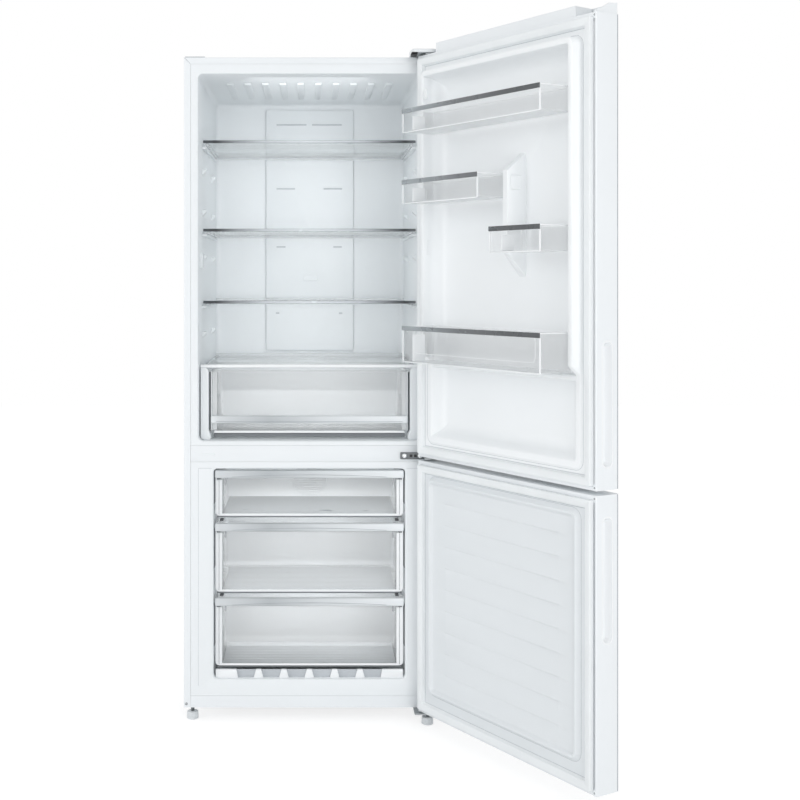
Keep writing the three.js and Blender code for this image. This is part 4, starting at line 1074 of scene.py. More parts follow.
@dataclass
class FanGrille:
    """The louvred grille over the fan's opening in the freezer's back."""

    level: float = 612.0
    radius: float = 56.0
    y: Span = (392.8, 395.8)
    pitch: float = 7.0
    bar: float = 6.2

    def build(self) -> None:
        """Build the ring and its bars."""
        (near, far), r = self.y, self.radius
        shape = Shape().lathe([
            (r - 5.0, near + 0.6), (r - 4.0, near), (r - 1.2, near), (r, near + 1.2), (r, far),
            (r - 5.0, far), (r - 5.0, near + 0.6),
        ], (0.0, 0.0, self.level), Axis.Y, 40)
        for step in range(-7, 8):
            z, half = self.level + step * self.pitch, self.bar / 2
            reach = math.sqrt((r - 3.0) ** 2 - (step * self.pitch) ** 2)
            shape.block((-reach, reach), (near + 0.8, far), (z - half, z + half), 0.8, 2)
        shape.piece("fan_grille", CABINET, LINER_PLASTIC)


@dataclass
class WallFittings:
    """The shelf ledges, wedge supports and sensor covers on the fridge's walls."""

    levels: tuple[float, ...] = (1622.0, 1371.0, 1164.0)
    ledge_x: Span = (296.0, 311.0)
    ledge_y: Span = (114.3, 521.0)
    ledge_height: float = 8.0
    ledge_gap: float = 8.6
    spare_levels: tuple[float, ...] = (1548.0, 1430.0, 1300.0, 1080.0)
    wedge_length: float = 26.0
    wedge_height: float = 18.0
    wedge_depths: tuple[float, ...] = (116.0, 394.0)
    wedge_reach: float = 13.0
    wall_front: float = 310.0
    wall_draft: float = 8.0
    wall_depth: float = 545.0

    def build(self) -> None:
        """Build the fittings."""
        self.ledges()
        self.wedges()
        self.sensor_covers()

    def wall(self, depth: float) -> float:
        """Return how far from the middle the side wall stands at a depth."""
        return self.wall_front - self.wall_draft * depth / self.wall_depth

    def ledges(self) -> None:
        """Build the long ledge that carries each shelf's side."""
        for side, name in ((-1, "left"), (1, "right")):
            shape = Shape()
            for level in self.levels:
                x = sorted(side * x for x in self.ledge_x)
                top = level - self.ledge_gap
                shape.block((x[0], x[1]), self.ledge_y, (top - self.ledge_height, top), 2.5, 3)
            shape.piece(f"{name}_shelf_ledges", CABINET, LINER_PLASTIC)

    def wedges(self) -> None:
        """Build the short wedge supports between the shelves."""
        for side, name in ((-1, "left"), (1, "right")):
            shape = Shape()
            for level in self.spare_levels:
                for depth in self.wedge_depths:
                    self.wedge(shape, side, depth, level)
            shape.soften(1.6)
            shape.piece(f"{name}_wall_wedges", CABINET, LINER_PLASTIC)

    def wedge(self, shape: Shape, side: int, depth: float, level: float) -> None:
        """Add one support, deep at its top and running out to the wall below.

        Args:
            shape: What it is added to.
            side: 1 for the right wall and -1 for the left.
            depth: Where its front end stands.
            level: Of its top.
        """
        wall = self.wall(depth) + 1.0
        tip = wall - self.wedge_reach
        outline = [
            (side * wall, level), (side * tip, level), (side * tip, level - 5.0),
            (side * wall, level - self.wedge_height),
        ]
        shape.prism(Axis.Y, outline, (depth, depth + self.wedge_length))

    def sensor_covers(self) -> None:
        """Build the small rounded covers on the duct panel and on the left wall."""
        cover = Section(533.9, (-21.0, 26.0), (1226.0, 1243.0), 5.0)
        shape = Shape().loft(Axis.Y, [cover, *cover.steps((0.0, 530.4), (1.6, 529.0))], 4)
        for slot in range(4):
            x = -12.0 + slot * 9.0
            shape.block((x, x + 5.0), (528.4, 529.6), (1231.0, 1238.0), 0.5, 2)
        shape.piece("duct_sensor_cover", CABINET, CAP_PLASTIC)
        side = Section(-309.4, (70.0, 128.0), (1262.0, 1306.0), 6.0)
        wall = Shape().loft(Axis.X, [side, *side.steps((0.0, -305.0), (2.0, -303.0))], 4)
        wall.piece("left_wall_cover", CABINET, CAP_PLASTIC)


@dataclass
class DuctPanel:
    """The raised panel on the fridge's back wall, with rows of air slots."""

    half: float = 140.5
    z: Span = (1003.0, 1774.0)
    front: float = 533.7
    back: float = 544.6
    corner: float = 7.0
    slots: tuple[tuple[float, float, float], ...] = (
        (-107.0, -10.0, 1726.0), (7.0, 103.0, 1726.0),
        (-107.0, -47.0, 1521.0), (44.0, 104.0, 1521.0),
        (-107.0, -77.0, 1335.0), (75.0, 103.0, 1335.0),
        (-109.0, -97.0, 1123.0), (93.0, 105.0, 1123.0),
    )
    slot_height: float = 4.0

    def build(self) -> None:
        """Build the panel, the lips around its slots and the painted shade inside them."""
        panel = Section(self.front, (-self.half, self.half), self.z, self.corner)
        shape = Shape().loft(Axis.Y, panel.steps(
            (0.0, self.back), (0.0, self.front + 4.0), (1.2, self.front + 1.2), (4.0, self.front),
        ), 6)
        shape.piece("duct_panel", CABINET, LINER_PLASTIC, ["air_duct_cover"])
        # The lofts in the slots are painted shade, where the slots would look dark.
        lips, dark = Shape(), Shape()
        for near, far, level in self.slots:
            z = (level - self.slot_height / 2, level + self.slot_height / 2)
            slot = Section(self.front + 0.3, (near, far), z, self.slot_height / 2)
            lips.rim(Axis.Y, slot.drawn_in(-1.4, self.front + 0.3), 1.4, -0.9)
            dark.loft(Axis.Y, [slot, slot.drawn_in(0.0, self.front - 0.15)], 4)
        lips.piece("duct_slot_lips", CABINET, LINER_PLASTIC)
        dark.piece("duct_slot_shade", CABINET, SOFT_SHADE)


# ---- Shelves and the crisper -------------------------------------------------------------------
@dataclass
class Shelf:
    """A lift-out shelf: polished front trim, side rails, rear lip and glass."""

    number: int
    level: float
    trim_half: float = 305.4
    half: float = 299.5
    rail_inner: float = 289.6
    glass_half: float = 289.2
    front: Span = (104.0, 114.0)
    back: float = 522.0
    lift: float = 0.0

    def build(self) -> None:
        """Build the shelf's pieces."""
        name = f"shelf_{self.number}"
        top = self.level + 5.0 + self.lift
        x = (-self.trim_half, self.trim_half)
        trim = Shape().block(x, self.front, (top - 8.0, top), 2.4, 3)
        trim.piece(f"{name}_trim", CABINET, SHELF_TRIM, [f"{name}_frame"])
        rails, low = Shape(), self.level - 8.3
        y, z = (self.front[1] - 2, self.back), (low, self.level + 0.4)
        rails.pair((self.rail_inner, self.half), y, z, 1.5)
        x, lip = (-self.half, self.half), (low, self.level + 8)
        rails.block(x, (self.back - 5, self.back), lip, 1.8, 3)
        rails.block((-289.8, 289.8), (512.0, self.back - 4), z, 1.0, 2)
        rails.piece(f"{name}_rails", CABINET, RAIL_CLEAR)
        x, z = (-self.glass_half, self.glass_half), (self.level - 4.0, self.level)
        glass = Shape().block(x, (114.3, 511.7), z, 0.8)
        glass.piece(f"{name}_pane", CABINET, GLASS, [f"{name}_glass"])


@dataclass
class Crisper:
    """The covered crisper: cover with cheeks, pane, clear drawer, handle and humidity slider."""

    level: float = 988.0
    half: float = 299.5
    rail_inner: float = 289.6
    rail_foot: float = 979.7
    cover_back: float = 522.0
    pane_half: float = 289.2
    trim_half: float = 305.4
    trim_y: Span = (24.0, 34.0)
    trim_z: Span = (982.0, 991.0)
    cheek_x: Span = (283.4, 305.4)
    cheek_z: Span = (779.4, 982.0)
    cheek_y: Span = (24.0, 400.0)
    drawer_x: Span = (-277.4, 277.4)
    drawer_y: Span = (37.0, 400.0)
    drawer_z: Span = (797.4, 974.0)
    band: float = 13.0
    handle_z: Span = (826.0, 847.0)
    rib_count: int = 9
    rib_start: float = 70.0
    rib_pitch: float = 36.0

    def build(self) -> None:
        """Build the crisper's pieces."""
        self.cover()
        self.cheeks()
        self.drawer()
        self.handle()
        self.slider()

    def cover(self) -> None:
        """Build the cover's white trim, the painted shade line under it, its rails and its pane."""
        trim = Shape().block((-self.trim_half, self.trim_half), self.trim_y, self.trim_z, 2.2, 3)
        trim.piece("crisper_cover_trim", CABINET, WHITE_EDGE, ["crisper_cover_frame"])
        # A dark line under the trim is painted shade.
        shade = Shape().block((-300.0, 300.0), (30.0, 33.6), (980.8, 982.6), 0.4, 1)
        shade.piece("crisper_cover_shade", CABINET, SHADE_LINE)
        foot, back = self.rail_foot, self.cover_back
        z = (foot, self.level + 0.4)
        rails = Shape().pair((self.rail_inner, self.half), (32.0, back), z, 1.5)
        rails.block((-self.half, self.half), (back - 10, back), (foot, self.level + 8), 1.8, 3)
        rails.piece("crisper_cover_rails", CABINET, RAIL_CLEAR)
        x = (-self.pane_half, self.pane_half)
        pane = Shape().block(x, (34.3, 511.7), (self.level - 4, self.level), 0.8)
        pane.piece("crisper_cover_pane", CABINET, GLASS, ["crisper_cover_glass"])

    def cheeks(self) -> None:
        """Build the white pillars that stand at the drawer's sides and carry the cover, and the
        painted shade in the gaps beside them.
        """
        shape, (inner, outer), (low, high) = Shape(), self.cheek_x, self.cheek_z
        foot = inner - 5.6
        outline = [
            (outer, high), (inner + 6.0, high), (inner, high - 8.0), (inner, low + 27.0),
            (foot, low + 13.0), (foot, low), (outer - 9.0, low), (outer - 2.6, low + 3.0),
            (outer, low + 10.0),
        ]
        for side in SIDES:
            shape.prism(Axis.Y, [(side * x, z) for x, z in outline], self.cheek_y)
        shape.clean()
        shape.soften(1.4)
        shape.join(Shape().pair((foot - 0.2, inner + 0.5), (62.0, 396.0), (868.0, 876.0), 0.8))
        z = (low + 15.0, high - 14.0)
        # Dark grey strips in the gaps beside the drawer are painted shade.
        side_gap_shade = Shape().pair((foot + 0.4, inner + 1.0), (52.0, 60.0), z, 0.6, 1)
        shape.piece("crisper_cheeks", CABINET, LINER_PLASTIC)
        side_gap_shade.piece("crisper_side_shade", CABINET, GREY_GAP)

    def drawer(self) -> None:
        """Build the clear drawer with its bright frame and the painted shade under it."""
        tub = Shape().tub(self.drawer_x, self.drawer_y, self.drawer_z, 14.0, 3.0, 6.0)
        tub.piece("crisper_tub", CRISPER, CLEAR, ["crisper_drawer"])
        # A dark grey block under the drawer is painted shade.
        gap = Shape().block((-270.0, 270.0), (44.0, 50.0), (785.5, 796.6), 4.0, 3)
        gap.piece("crisper_foot_shade", CABINET, GREY_GAP)
        (low, high), front, half = self.drawer_z, self.drawer_y[0], self.drawer_x[1]
        edges, bands = Shape(), Shape()
        edges.block((-half + 9.0, half - 9.0), (front - 1.4, front + 3), (low, low + 7.0), 2.0, 3)
        edges.pair((half - 2.6, half), (front - 1.0, front + 4), (low + 7.0, high - 2), 1.0)
        x = (half - 4.0 - self.band, half - 4.0)
        bands.pair(x, (front - 0.8, front + 3), (low + 9.0, high - 4), 1.2)
        edges.piece("crisper_frame", CRISPER, WHITE_EDGE)
        top = Section(high - 3.0, (-half + 0.5, half - 0.5), (front, 399.0), 13.0)
        bands.rim(Axis.Z, top, 5.0, 3.0)
        bands.piece("crisper_bands", CRISPER, FROSTED)
        ribs = Shape()
        for rib in range(self.rib_count):
            y = self.rib_start + rib * self.rib_pitch
            ribs.block((-250.0, 250.0), (y, y + 4.0), (802.8, 804.6), 0.7, 2)
        ribs.piece("crisper_floor_ribs", CRISPER, FROSTED)

    def handle(self) -> None:
        """Build the silver bar across the drawer, with a painted shade line along its face."""
        x, y = self.drawer_x, (self.trim_y[0], self.drawer_y[0] - 0.3)
        shape = Shape().block((x[0] + 0.4, x[1] - 0.4), y, self.handle_z, 3.5, 4)
        shape.piece("crisper_grip", CRISPER, SILVER_BAR, ["crisper_handle"])
        # A dark line across the bar's face is painted shade.
        line = Shape().block((-262.0, 262.0), (23.6, 24.6), (830.5, 831.5), 0.3, 2)
        line.piece("crisper_grip_shade_line", CRISPER, SHADE_LINE)

    def slider(self) -> None:
        """Build the little ribbed slider that lets air into the crisper."""
        shape = Shape().block((31.0, 54.0), (26.8, 31.2), (988.3, 993.0), 1.0, 2)
        for rib in range(4):
            x = 34.0 + rib * 4.6
            shape.block((x, x + 2.4), (27.4, 30.6), (992.4, 995.0), 0.6, 2)
        shape.piece("humidity_thumb", SLIDER, GREY_PLASTIC, ["humidity_slider"])


# ---- Freezer drawers ---------------------------------------------------------------------------
@dataclass
class FrozenDrawer:
    """A clear freezer drawer with white frames, a ribbed floor and a silver handle bar."""

    number: int
    z: Span
    back: float
    # The floor's tone is painted shade, set for each drawer.
    shaded_floor: Finish = MIDDLE_FLOOR_SHADE
    half: float = 264.4
    front: float = 22.0
    wall: float = 3.0
    handle_height: float = 22.0
    handle_y: Span = (9.0, 21.7)
    post: float = 20.0

    def build(self) -> None:
        """Build the drawer's pieces."""
        seat, name = DRAWERS[self.number - 1], f"freezer_drawer_{self.number}"
        (low, high), x, y = self.z, (-self.half, self.half), (self.front, self.back)
        tub = Shape().tub(x, y, self.z, 16.0, self.wall, 7.0)
        tub.piece(f"{name}_tub", seat, CLEAR, [name])
        self.frames(seat, name)
        ribs, pitch = Shape(), 16.0
        for rib in range(int((self.back - self.front - 40.0) / pitch)):
            y = self.front + 26.0 + rib * pitch
            ribs.block((-240.0, 240.0), (y, y + 5.0), (low + 3.2, low + 4.8), 0.7, 2)
        y = (self.front + 12, self.back - 12)
        ribs.block((-244.0, 244.0), y, (low + 3.2, low + 3.9), 0.3, 1)
        ribs.piece(f"{name}_floor_ribs", seat, self.shaded_floor)
        top = high - self.handle_height
        bar = Shape().block(x, self.handle_y, (top, high), 3.6, 4)
        stood_for = [f"freezer_handle_{self.number}"]
        bar.piece(f"freezer_grip_{self.number}", seat, SILVER_BAR, stood_for)
        self.arch(seat, top)

    def frames(self, seat: Seat, name: str) -> None:
        """Build the white frames around the front window, the rim and the side windows, and a
        painted shadow below.

        Args:
            seat: What carries them.
            name: The drawer's name.
        """
        (low, high), half, front = self.z, self.half, self.front
        inner, grip = half - self.post, high - self.handle_height
        shape, hooks = Shape(), Shape()
        face = Section(front + 0.3, (-half + 1, half - 1), (low + 2, high - 2), 12.0)
        shape.rim(Axis.Y, face, 3.4, -1.8)
        shape.block((-half + 14, half - 14), (front - 1.2, front + 3), (low + 3, low + 8), 1.2, 2)
        top = Section(high - 4.0, (-half + 0.6, half - 0.6), (front + 0.4, self.back - 0.6), 14.0)
        shape.rim(Axis.Z, top, 6.0, 3.6)
        for x in ((inner, inner + 8.6), (inner + 9.6, half - 3.6)):
            shape.pair(x, (front - 1.6, front + 5), (low + 5, grip - 5.5), 1.6, 3)
        z = (grip - 5.0, grip - 0.6)
        hooks.pair((half - 15.0, half - 2.0), (front + 1.0, front + 8), z, 0.8)
        z = (grip - 24.0, grip - 6.0)
        hooks.pair((half - 30.0, half - 26.0), (front + 18.0, front + 30), z, 1.6, 3)
        shape.piece(f"{name}_frames", seat, WHITE_EDGE)
        hooks.piece(f"{name}_hooks", seat, GREY_GAP)
        # A dark grey strip under the drawer's front is painted shadow.
        seal = Shape().block((-259.0, 259.0), (front + 1, front + 9), (low - 2.8, low - 0.3), 0.8)
        seal.piece(f"{name}_foot_shadow", seat, GREY_GAP)

    def arch(self, seat: Seat, level: float) -> None:
        """Build the painted shade line that arches under the handle bar.

        Args:
            seat: What carries it.
            level: Of the bar's underside.
        """
        shape, steps, reach, rise = Shape(), 12, 216.0, 6.0
        for step in range(steps):
            x0, x1 = (-reach + 2 * reach * (step + end) / steps for end in (0, 1))
            z0, z1 = (level + 3.0 + rise * (1 - (x / reach) ** 2) for x in (x0, x1))
            outline = [(x0, z0), (x1, z1), (x1, z1 + 1.0), (x0, z0 + 1.0)]
            shape.prism(Axis.Y, outline, (self.handle_y[0] - 0.2, self.handle_y[0] + 0.6))
        shape.piece(f"freezer_grip_shade_line_{self.number}", seat, SHADE_LINE)


# ---- Doors -------------------------------------------------------------------------------------
@dataclass
class Door:
    """What both doors share: painted skin, end caps, gasket, side grip and corner screws."""

    label: ClassVar[str] = ""
    seat: ClassVar[Seat] = UPPER_DOOR

    low: float = 0.0
    high: float = 0.0
    grip: Span = (0.0, 0.0)
    half: float = 350.0
    front: float = -82.0
    back: float = -12.0
    cap: float = 14.0
    sheet: float = 1.2
    fold: float = 10.0
    inner_half: float = 347.6
    inner_front: float = -79.6
    grip_y: Span = (-62.0, -31.0)
    grip_depth: float = 17.0
    grip_lip: float = 2.6
    gasket_inset: float = 10.4
    gasket_width: float = 22.0
    gasket_y: Span = (-11.7, -0.8)

    def skin(self) -> None:
        """Build the painted sheet: front, sides, folded back edges and the window for the grip."""
        x, y = (-self.half, self.half), (self.front, self.back)
        shape = Shape().block(x, y, (self.low, self.high))
        bm = shape.bm
        bm.normal_update()
        open_sides = [f for f in bm.faces if f.normal.y > 0.5 or abs(f.normal.z) > 0.5]
        bmesh.ops.delete(bm, geom=open_sides, context="FACES")
        corners = [e for e in bm.edges if is_upright(e) and e.verts[0].co.y < self.front + 1]
        shape.round(corners, 6.0, 5)
        for side in SIDES:
            free = [e for e in bm.edges if len(e.link_faces) == 1 and is_upright(e)
                    and e.verts[0].co.x * side > 0]
            shape.pull(free, (-side * self.fold, 0, 0))
        folds = [e for e in bm.edges if is_upright(e) and len(e.link_faces) == 2
                 and e.verts[0].co.y > self.back - TINY]
        shape.round(folds, 1.6, 3)
        if self.grip[1] > 0:
            inset = self.grip_lip
            y = (self.grip_y[0] + inset, self.grip_y[1] - inset)
            z = (self.grip[0] + inset, self.grip[1] - inset)
            shape.window(y, z, -self.half + 1.0)
        self.finish_skin(shape)
        shape.solidify(0.8)
        shape.piece(f"{self.label}_skin", self.seat, WHITE_PAINT, [f"{self.label}_door_skin"])

    def finish_skin(self, shape: Shape) -> None:
        """Give a door the chance to add to its skin before it gets a wall.

        Args:
            shape: The skin.
        """

    def end_caps(self) -> None:
        """Build the moulded caps that close the door's ends."""
        ends = (("bottom", self.low, self.low + self.cap), ("top", self.high - self.cap, self.high))
        x, y = (-self.inner_half, self.inner_half), (self.inner_front, self.back - 0.2)
        for name, low, high in ends:
            shape = Shape().block(x, y, (low, high), 1.4)
            outer = low if name == "bottom" else high
            step = 1.2 if name == "bottom" else -1.2
            recess = Section(outer - step * 0.2, (-300.0, 300.0), (-66.0, -26.0), 8.0)
            shape.rim(Axis.Z, recess, 2.4, step * 0.4)
            self.finish_cap(shape, name)
            stood_for = [f"{self.label}_door_{name}_cap"]
            shape.piece(f"{self.label}_{name}_cap", self.seat, CAP_PLASTIC, stood_for)

    def finish_cap(self, shape: Shape, name: str) -> None:
        """Give a door the chance to add to a cap.

        Args:
            shape: The cap.
            name: Which end it closes.
        """

    def gasket(self) -> None:
        """Build the magnetic gasket with its folds, mitred at the corners."""
        near, far = self.gasket_y
        x = (-self.half + self.gasket_inset, self.half - self.gasket_inset)
        z = (self.low + self.gasket_inset, self.high_edge() - self.gasket_inset)
        base, wide = Section(near, x, z, 3.0), self.gasket_width
        shape = Shape().loft(Axis.Y, base.steps(
            (0.0, near), (0.1, near + 4.4), (0.9, near + 5.0), (0.1, near + 5.6), (0.2, far - 1.2),
            (1.2, far), (wide - 6.0, far), (wide - 3.0, far - 2.6), (wide - 2.2, near + 3.0),
            (wide - 0.8, near + 1.6), (wide, near), (0.0, near),
        ), 2, caps=(False, False))
        shape.piece(f"{self.label}_gasket_seal", self.seat, GASKET, [f"{self.label}_door_gasket"])
        edges = base.steps((wide + 0.4, self.back), (-0.3, self.back))
        self.edge_shade_lines([*edges, self.moulding().drawn_in(-2.4, self.back)])

    def moulding(self) -> Section:
        """Return the foot of what is moulded on the liner."""
        raise NotImplementedError

    def edge_shade_lines(self, lines: Sequence[Section]) -> None:
        """Build the fine painted shade lines at the gasket's edges and around the moulding.

        Args:
            lines: The outline of each.
        """
        shape = Shape()
        for line in lines:
            shape.rim(Axis.Y, line, 0.9, 0.3)
        shape.piece(f"{self.label}_edge_shade_lines", self.seat, SOFT_SHADE)

    def high_edge(self) -> float:
        """Return the top of the door's sealing face."""
        return self.high

    def grip_pocket(self) -> None:
        """Build the long rounded pocket in the door's free side."""
        side = -self.half
        face, floor = Section(side - 0.4, self.grip_y, self.grip, 13.0), side + self.grip_depth
        shape = Shape().loft(Axis.X, face.steps(
            (2.0, floor + 1.4), (0.0, floor - 2.0), (0.0, side + 1.6), (-2.4, side + 0.9),
            (-2.4, side - 0.1), (-1.6, side - 0.5), (1.2, side - 0.5), (self.grip_lip, side + 0.8),
            (4.4, side + 6.0), (8.4, floor - 3.0), (10.4, floor - 0.8), (12.6, floor),
        ), 6)
        stood_for = [f"{self.label}_handle_pocket"]
        shape.piece(f"{self.label}_grip_pocket", self.seat, WHITE_EDGE, stood_for)

    def front_shade_line(self) -> None:
        """Build the fine painted shade line where the front sheet turns into the free side."""
        high = self.high_edge() if self.label == "lower" else self.high
        line = Shape().block((-350.5, -349.0), (-79.4, -77.8), (self.low + 1, high - 1), 0.3, 1)
        line.piece(f"{self.label}_front_shade_line", self.seat, SHADE_LINE)

    def corner_screws(self) -> None:
        """Build the small screws in the free corners of the sealing face."""
        shape = Shape()
        for level in (self.low + 7.0, self.high_edge() - 7.0):
            screw(shape, (-self.half + 6.5, self.back, level), 2.6, 1.0)
        shape.piece(f"{self.label}_corner_screws", self.seat, ZINC)


@dataclass
class UpperDoor(Door):
    """The fridge's door: deep moulded liner, bump between the middle bins and ridge on top."""

    label: ClassVar[str] = "upper"
    seat: ClassVar[Seat] = UPPER_DOOR

    low: float = 742.0
    high: float = 1846.0
    grip: Span = (794.0, 1086.0)
    ridge_top: float = 1874.0
    ridge_y: Span = (-79.6, -21.0)
    ridge_x: Span = (-271.0, 280.0)
    ear_width: float = 6.0
    dyke_half: float = 305.0
    dyke_z: Span = (784.0, 1799.0)
    crest: float = 18.0
    crest_width: float = 19.0
    field: float = -38.0
    drop_z: Span = (1006.0, 1028.0)
    drop_share: float = 0.86
    bump_wall: float = -73.0
    lug_x: float = 285.0
    lug_levels: tuple[float, ...] = (1640.0, 1452.0, 1316.0, 1040.0)

    def build(self) -> None:
        """Build the door's pieces."""
        self.skin()
        self.end_caps()
        self.liner()
        self.bump()
        self.lugs()
        self.gasket()
        self.grip_pocket()
        self.front_shade_line()
        self.corner_screws()

    def moulding(self) -> Section:
        """Return the dyke's foot."""
        return Section(self.back, (-self.dyke_half, self.dyke_half), self.dyke_z, 24.0)

    def finish_skin(self, shape: Shape) -> None:
        """Carry the skin's front up over the ridge.

        Args:
            shape: The skin.
        """
        top = [e for e in shape.bm.edges if len(e.link_faces) == 1
               and min(v.co.z for v in e.verts) > self.high - TINY
               and max(v.co.y for v in e.verts) < self.front + TINY]
        shape.pull(top, (0, 0, self.ridge_top - self.high))

    def finish_cap(self, shape: Shape, name: str) -> None:
        """Add the ridge and the ear at the free side to the top cap.

        Args:
            shape: The cap.
            name: Which end it closes.
        """
        if name != "top":
            return
        (near, far), (end, start) = self.ridge_y, self.ridge_x
        outline = [
            (start, near), (start, far), (end, far), (end + 2.0, far - 2.0), (end + 8.0, near),
        ]
        ridge = Shape().prism(Axis.Z, outline, (self.high - 1.0, self.ridge_top))
        ridge.round([e for e in ridge.bm.edges if not is_upright(e)
                     and e.verts[0].co.z > self.high and e.verts[1].co.z > self.high], 1.2, 2)
        shape.join(ridge)
        back, base, top = self.back - 1.0, self.high, self.ridge_top - 2.6
        profile = [
            (near, base - 1.0), (back, base - 1.0), (back, base + 4.0), (-34.0, base + 12.5),
            (-57.0, top), (near, top),
        ]
        ear = (-self.inner_half, -self.inner_half + self.ear_width)
        shape.join(Shape().prism(Axis.X, profile, ear))

    def liner(self) -> None:
        """Build the moulded liner: sealing face, dyke and deep field, low beside the recess."""
        outer = Section(self.back - 4.0, (-346.8, 346.8), (756.3, 1831.7), 2.0)
        back, field, wide, crest = self.back, self.field, self.crest_width, self.crest
        sections = [
            outer, *outer.steps((0.0, back - 1.2), (1.2, back)), *self.moulding().steps(
                (-1.0, back), (0.4, back + 1.4), (3.6, crest - 4.0), (5.0, crest - 1.0),
                (7.0, crest), (wide - 2.0, crest), (wide, crest - 0.8), (wide + 1.0, crest - 3.0),
                (wide + 3.6, field + 36.0), (wide + 7.6, field + 24.0), (wide + 14.0, field + 13.0),
                (wide + 22.0, field + 5.4), (wide + 32.0, field + 1.2), (wide + 42.0, field),
            ),
        ]
        shape = Shape().loft(Axis.Y, sections, 6, caps=(False, True))
        shape.clean()
        low, high = self.drop_z
        for level in (low, (low + high) / 2, high):
            shape.cut((0, 0, level), Axis.Z)
        for v in shape.bm.verts:
            if v.co.y > self.back + TINY and v.co.z < high - TINY:
                share = min(1.0, (high - v.co.z) / (high - low))
                share = share * share * (3 - 2 * share)
                v.co.y = self.back + (v.co.y - self.back) * (1 - self.drop_share * share)
        shape.solidify(self.sheet)
        shape.piece(f"{self.label}_liner", self.seat, DOOR_LINER, ["upper_door_core"], crease=50)
        bar = Shape().block((-292.0, 292.0), (self.field + 0.4, -9.5), (991.0, 1005.0), 4.0, 4)
        bar.piece(f"{self.label}_liner_bar", self.seat, DOOR_LINER)

    def bump(self) -> None:
        """Build the hull-shaped bump that parts the two middle bins."""
        wall = self.bump_wall
        foot = Section(self.field - 1.0, (wall, -46.0), (1235.0, 1546.0), 4.0)
        top = Section(self.crest - 2.0, (wall + 3.6, -50.0), (1294.0, 1502.0), 3.0)
        shape = Shape().loft(Axis.Y, [foot, top, top.drawn_in(1.6, self.crest)], 3)
        shape.piece("bin_bump", self.seat, DOOR_LINER, crease=50)

    def lugs(self) -> None:
        """Build the bosses that the bins hang on, as faint frames on the inner walls."""
        shape, x = Shape(), self.lug_x
        for level in self.lug_levels:
            mark = Section(x - 1.4, (-26.0, 8.0), (level - 20.0, level + 20.0), 3.0)
            shape.rim(Axis.X, mark, 2.2, -1.6)
            shape.block((x - 4.0, x + 1.0), (-14.0, -4.0), (level - 10.0, level + 10.0), 1.6, 2)
        side = Section(self.bump_wall + 1.6, (-24.0, 10.0), (1452.0, 1490.0), 3.0)
        shape.rim(Axis.X, side, 2.2, -1.6)
        for level in (1640.0, 1316.0, 1040.0):
            shape.block((-286.0, -280.0), (-14.0, -4.0), (level - 10.0, level + 10.0), 1.6, 2)
        shape.block((262.0, 276.0), (17.0, 24.0), (1716.0, 1742.0), 2.0, 2)
        shape.piece("bin_lugs", self.seat, DOOR_LINER)


@dataclass
class LowerDoor(Door):
    """The freezer's door: a low ring around a shallow field with pressed grooves on its liner."""

    label: ClassVar[str] = "lower"
    seat: ClassVar[Seat] = LOWER_DOOR

    low: float = 39.0
    high: float = 731.0
    grip: Span = (387.0, 679.0)
    ring_z: Span = (100.0, 693.0)
    ring_half: float = 298.0
    ring_height: float = 10.6
    ring_width: float = 15.0
    field: float = -10.0
    groove_half: float = 224.0
    groove_z: Span = (165.0, 624.0)
    groove_count: int = 9
    groove_depth: float = 2.2

    def build(self) -> None:
        """Build the door's pieces."""
        self.skin()
        self.end_caps()
        self.liner()
        self.gasket()
        self.grip_pocket()
        self.front_shade_line()
        self.corner_screws()

    def moulding(self) -> Section:
        """Return the ring's foot."""
        return Section(self.back, (-self.ring_half, self.ring_half), self.ring_z, 26.0)

    def liner(self) -> None:
        """Build the liner: sealing face, raised ring and flat field with fine grooves."""
        outer = Section(self.back - 4.0, (-346.8, 346.8), (53.3, 716.7), 2.0)
        back, field, wide = self.back, self.field, self.ring_width
        top = back + self.ring_height
        sections = [
            outer, *outer.steps((0.0, back - 1.2), (1.2, back)), *self.moulding().steps(
                (-1.4, back), (0.6, back + 1.0), (6.4, top - 1.6), (8.4, top), (wide - 2.4, top),
                (wide - 0.6, top - 1.0), (wide + 3.0, field + 2.6), (wide + 5.0, field + 0.8),
                (wide + 9.0, field),
            ),
        ]
        shape = Shape().loft(Axis.Y, sections, 5, caps=(False, True))
        shape.clean()
        self.grooves(shape)
        shape.solidify(self.sheet)
        shape.piece(
            f"{self.label}_liner", self.seat, SHADED_DOOR_LINER, ["lower_door_core"], crease=32,
        )

    def grooves(self, shape: Shape) -> None:
        """Press the fine grooves into the field, each steep above and soft below.

        Args:
            shape: The liner.
        """
        (low, high), reach = self.groove_z, self.groove_half
        for x in (-reach, -reach + 5.0, reach - 5.0, reach):
            shape.cut((x, 0, 0), Axis.X)
        for groove in range(self.groove_count):
            z = low + (high - low) * groove / (self.groove_count - 1)
            floor = (z - 1.0, z + 3.0)
            for level in (z - 6.0, *floor, z + 4.6):
                shape.cut((0, 0, level), Axis.Z)
            for v in shape.bm.verts:
                in_field = abs(v.co.y - self.field) < TINY and abs(v.co.x) < reach - 4.9
                if in_field and floor[0] - TINY < v.co.z < floor[1] + TINY:
                    v.co.y -= self.groove_depth


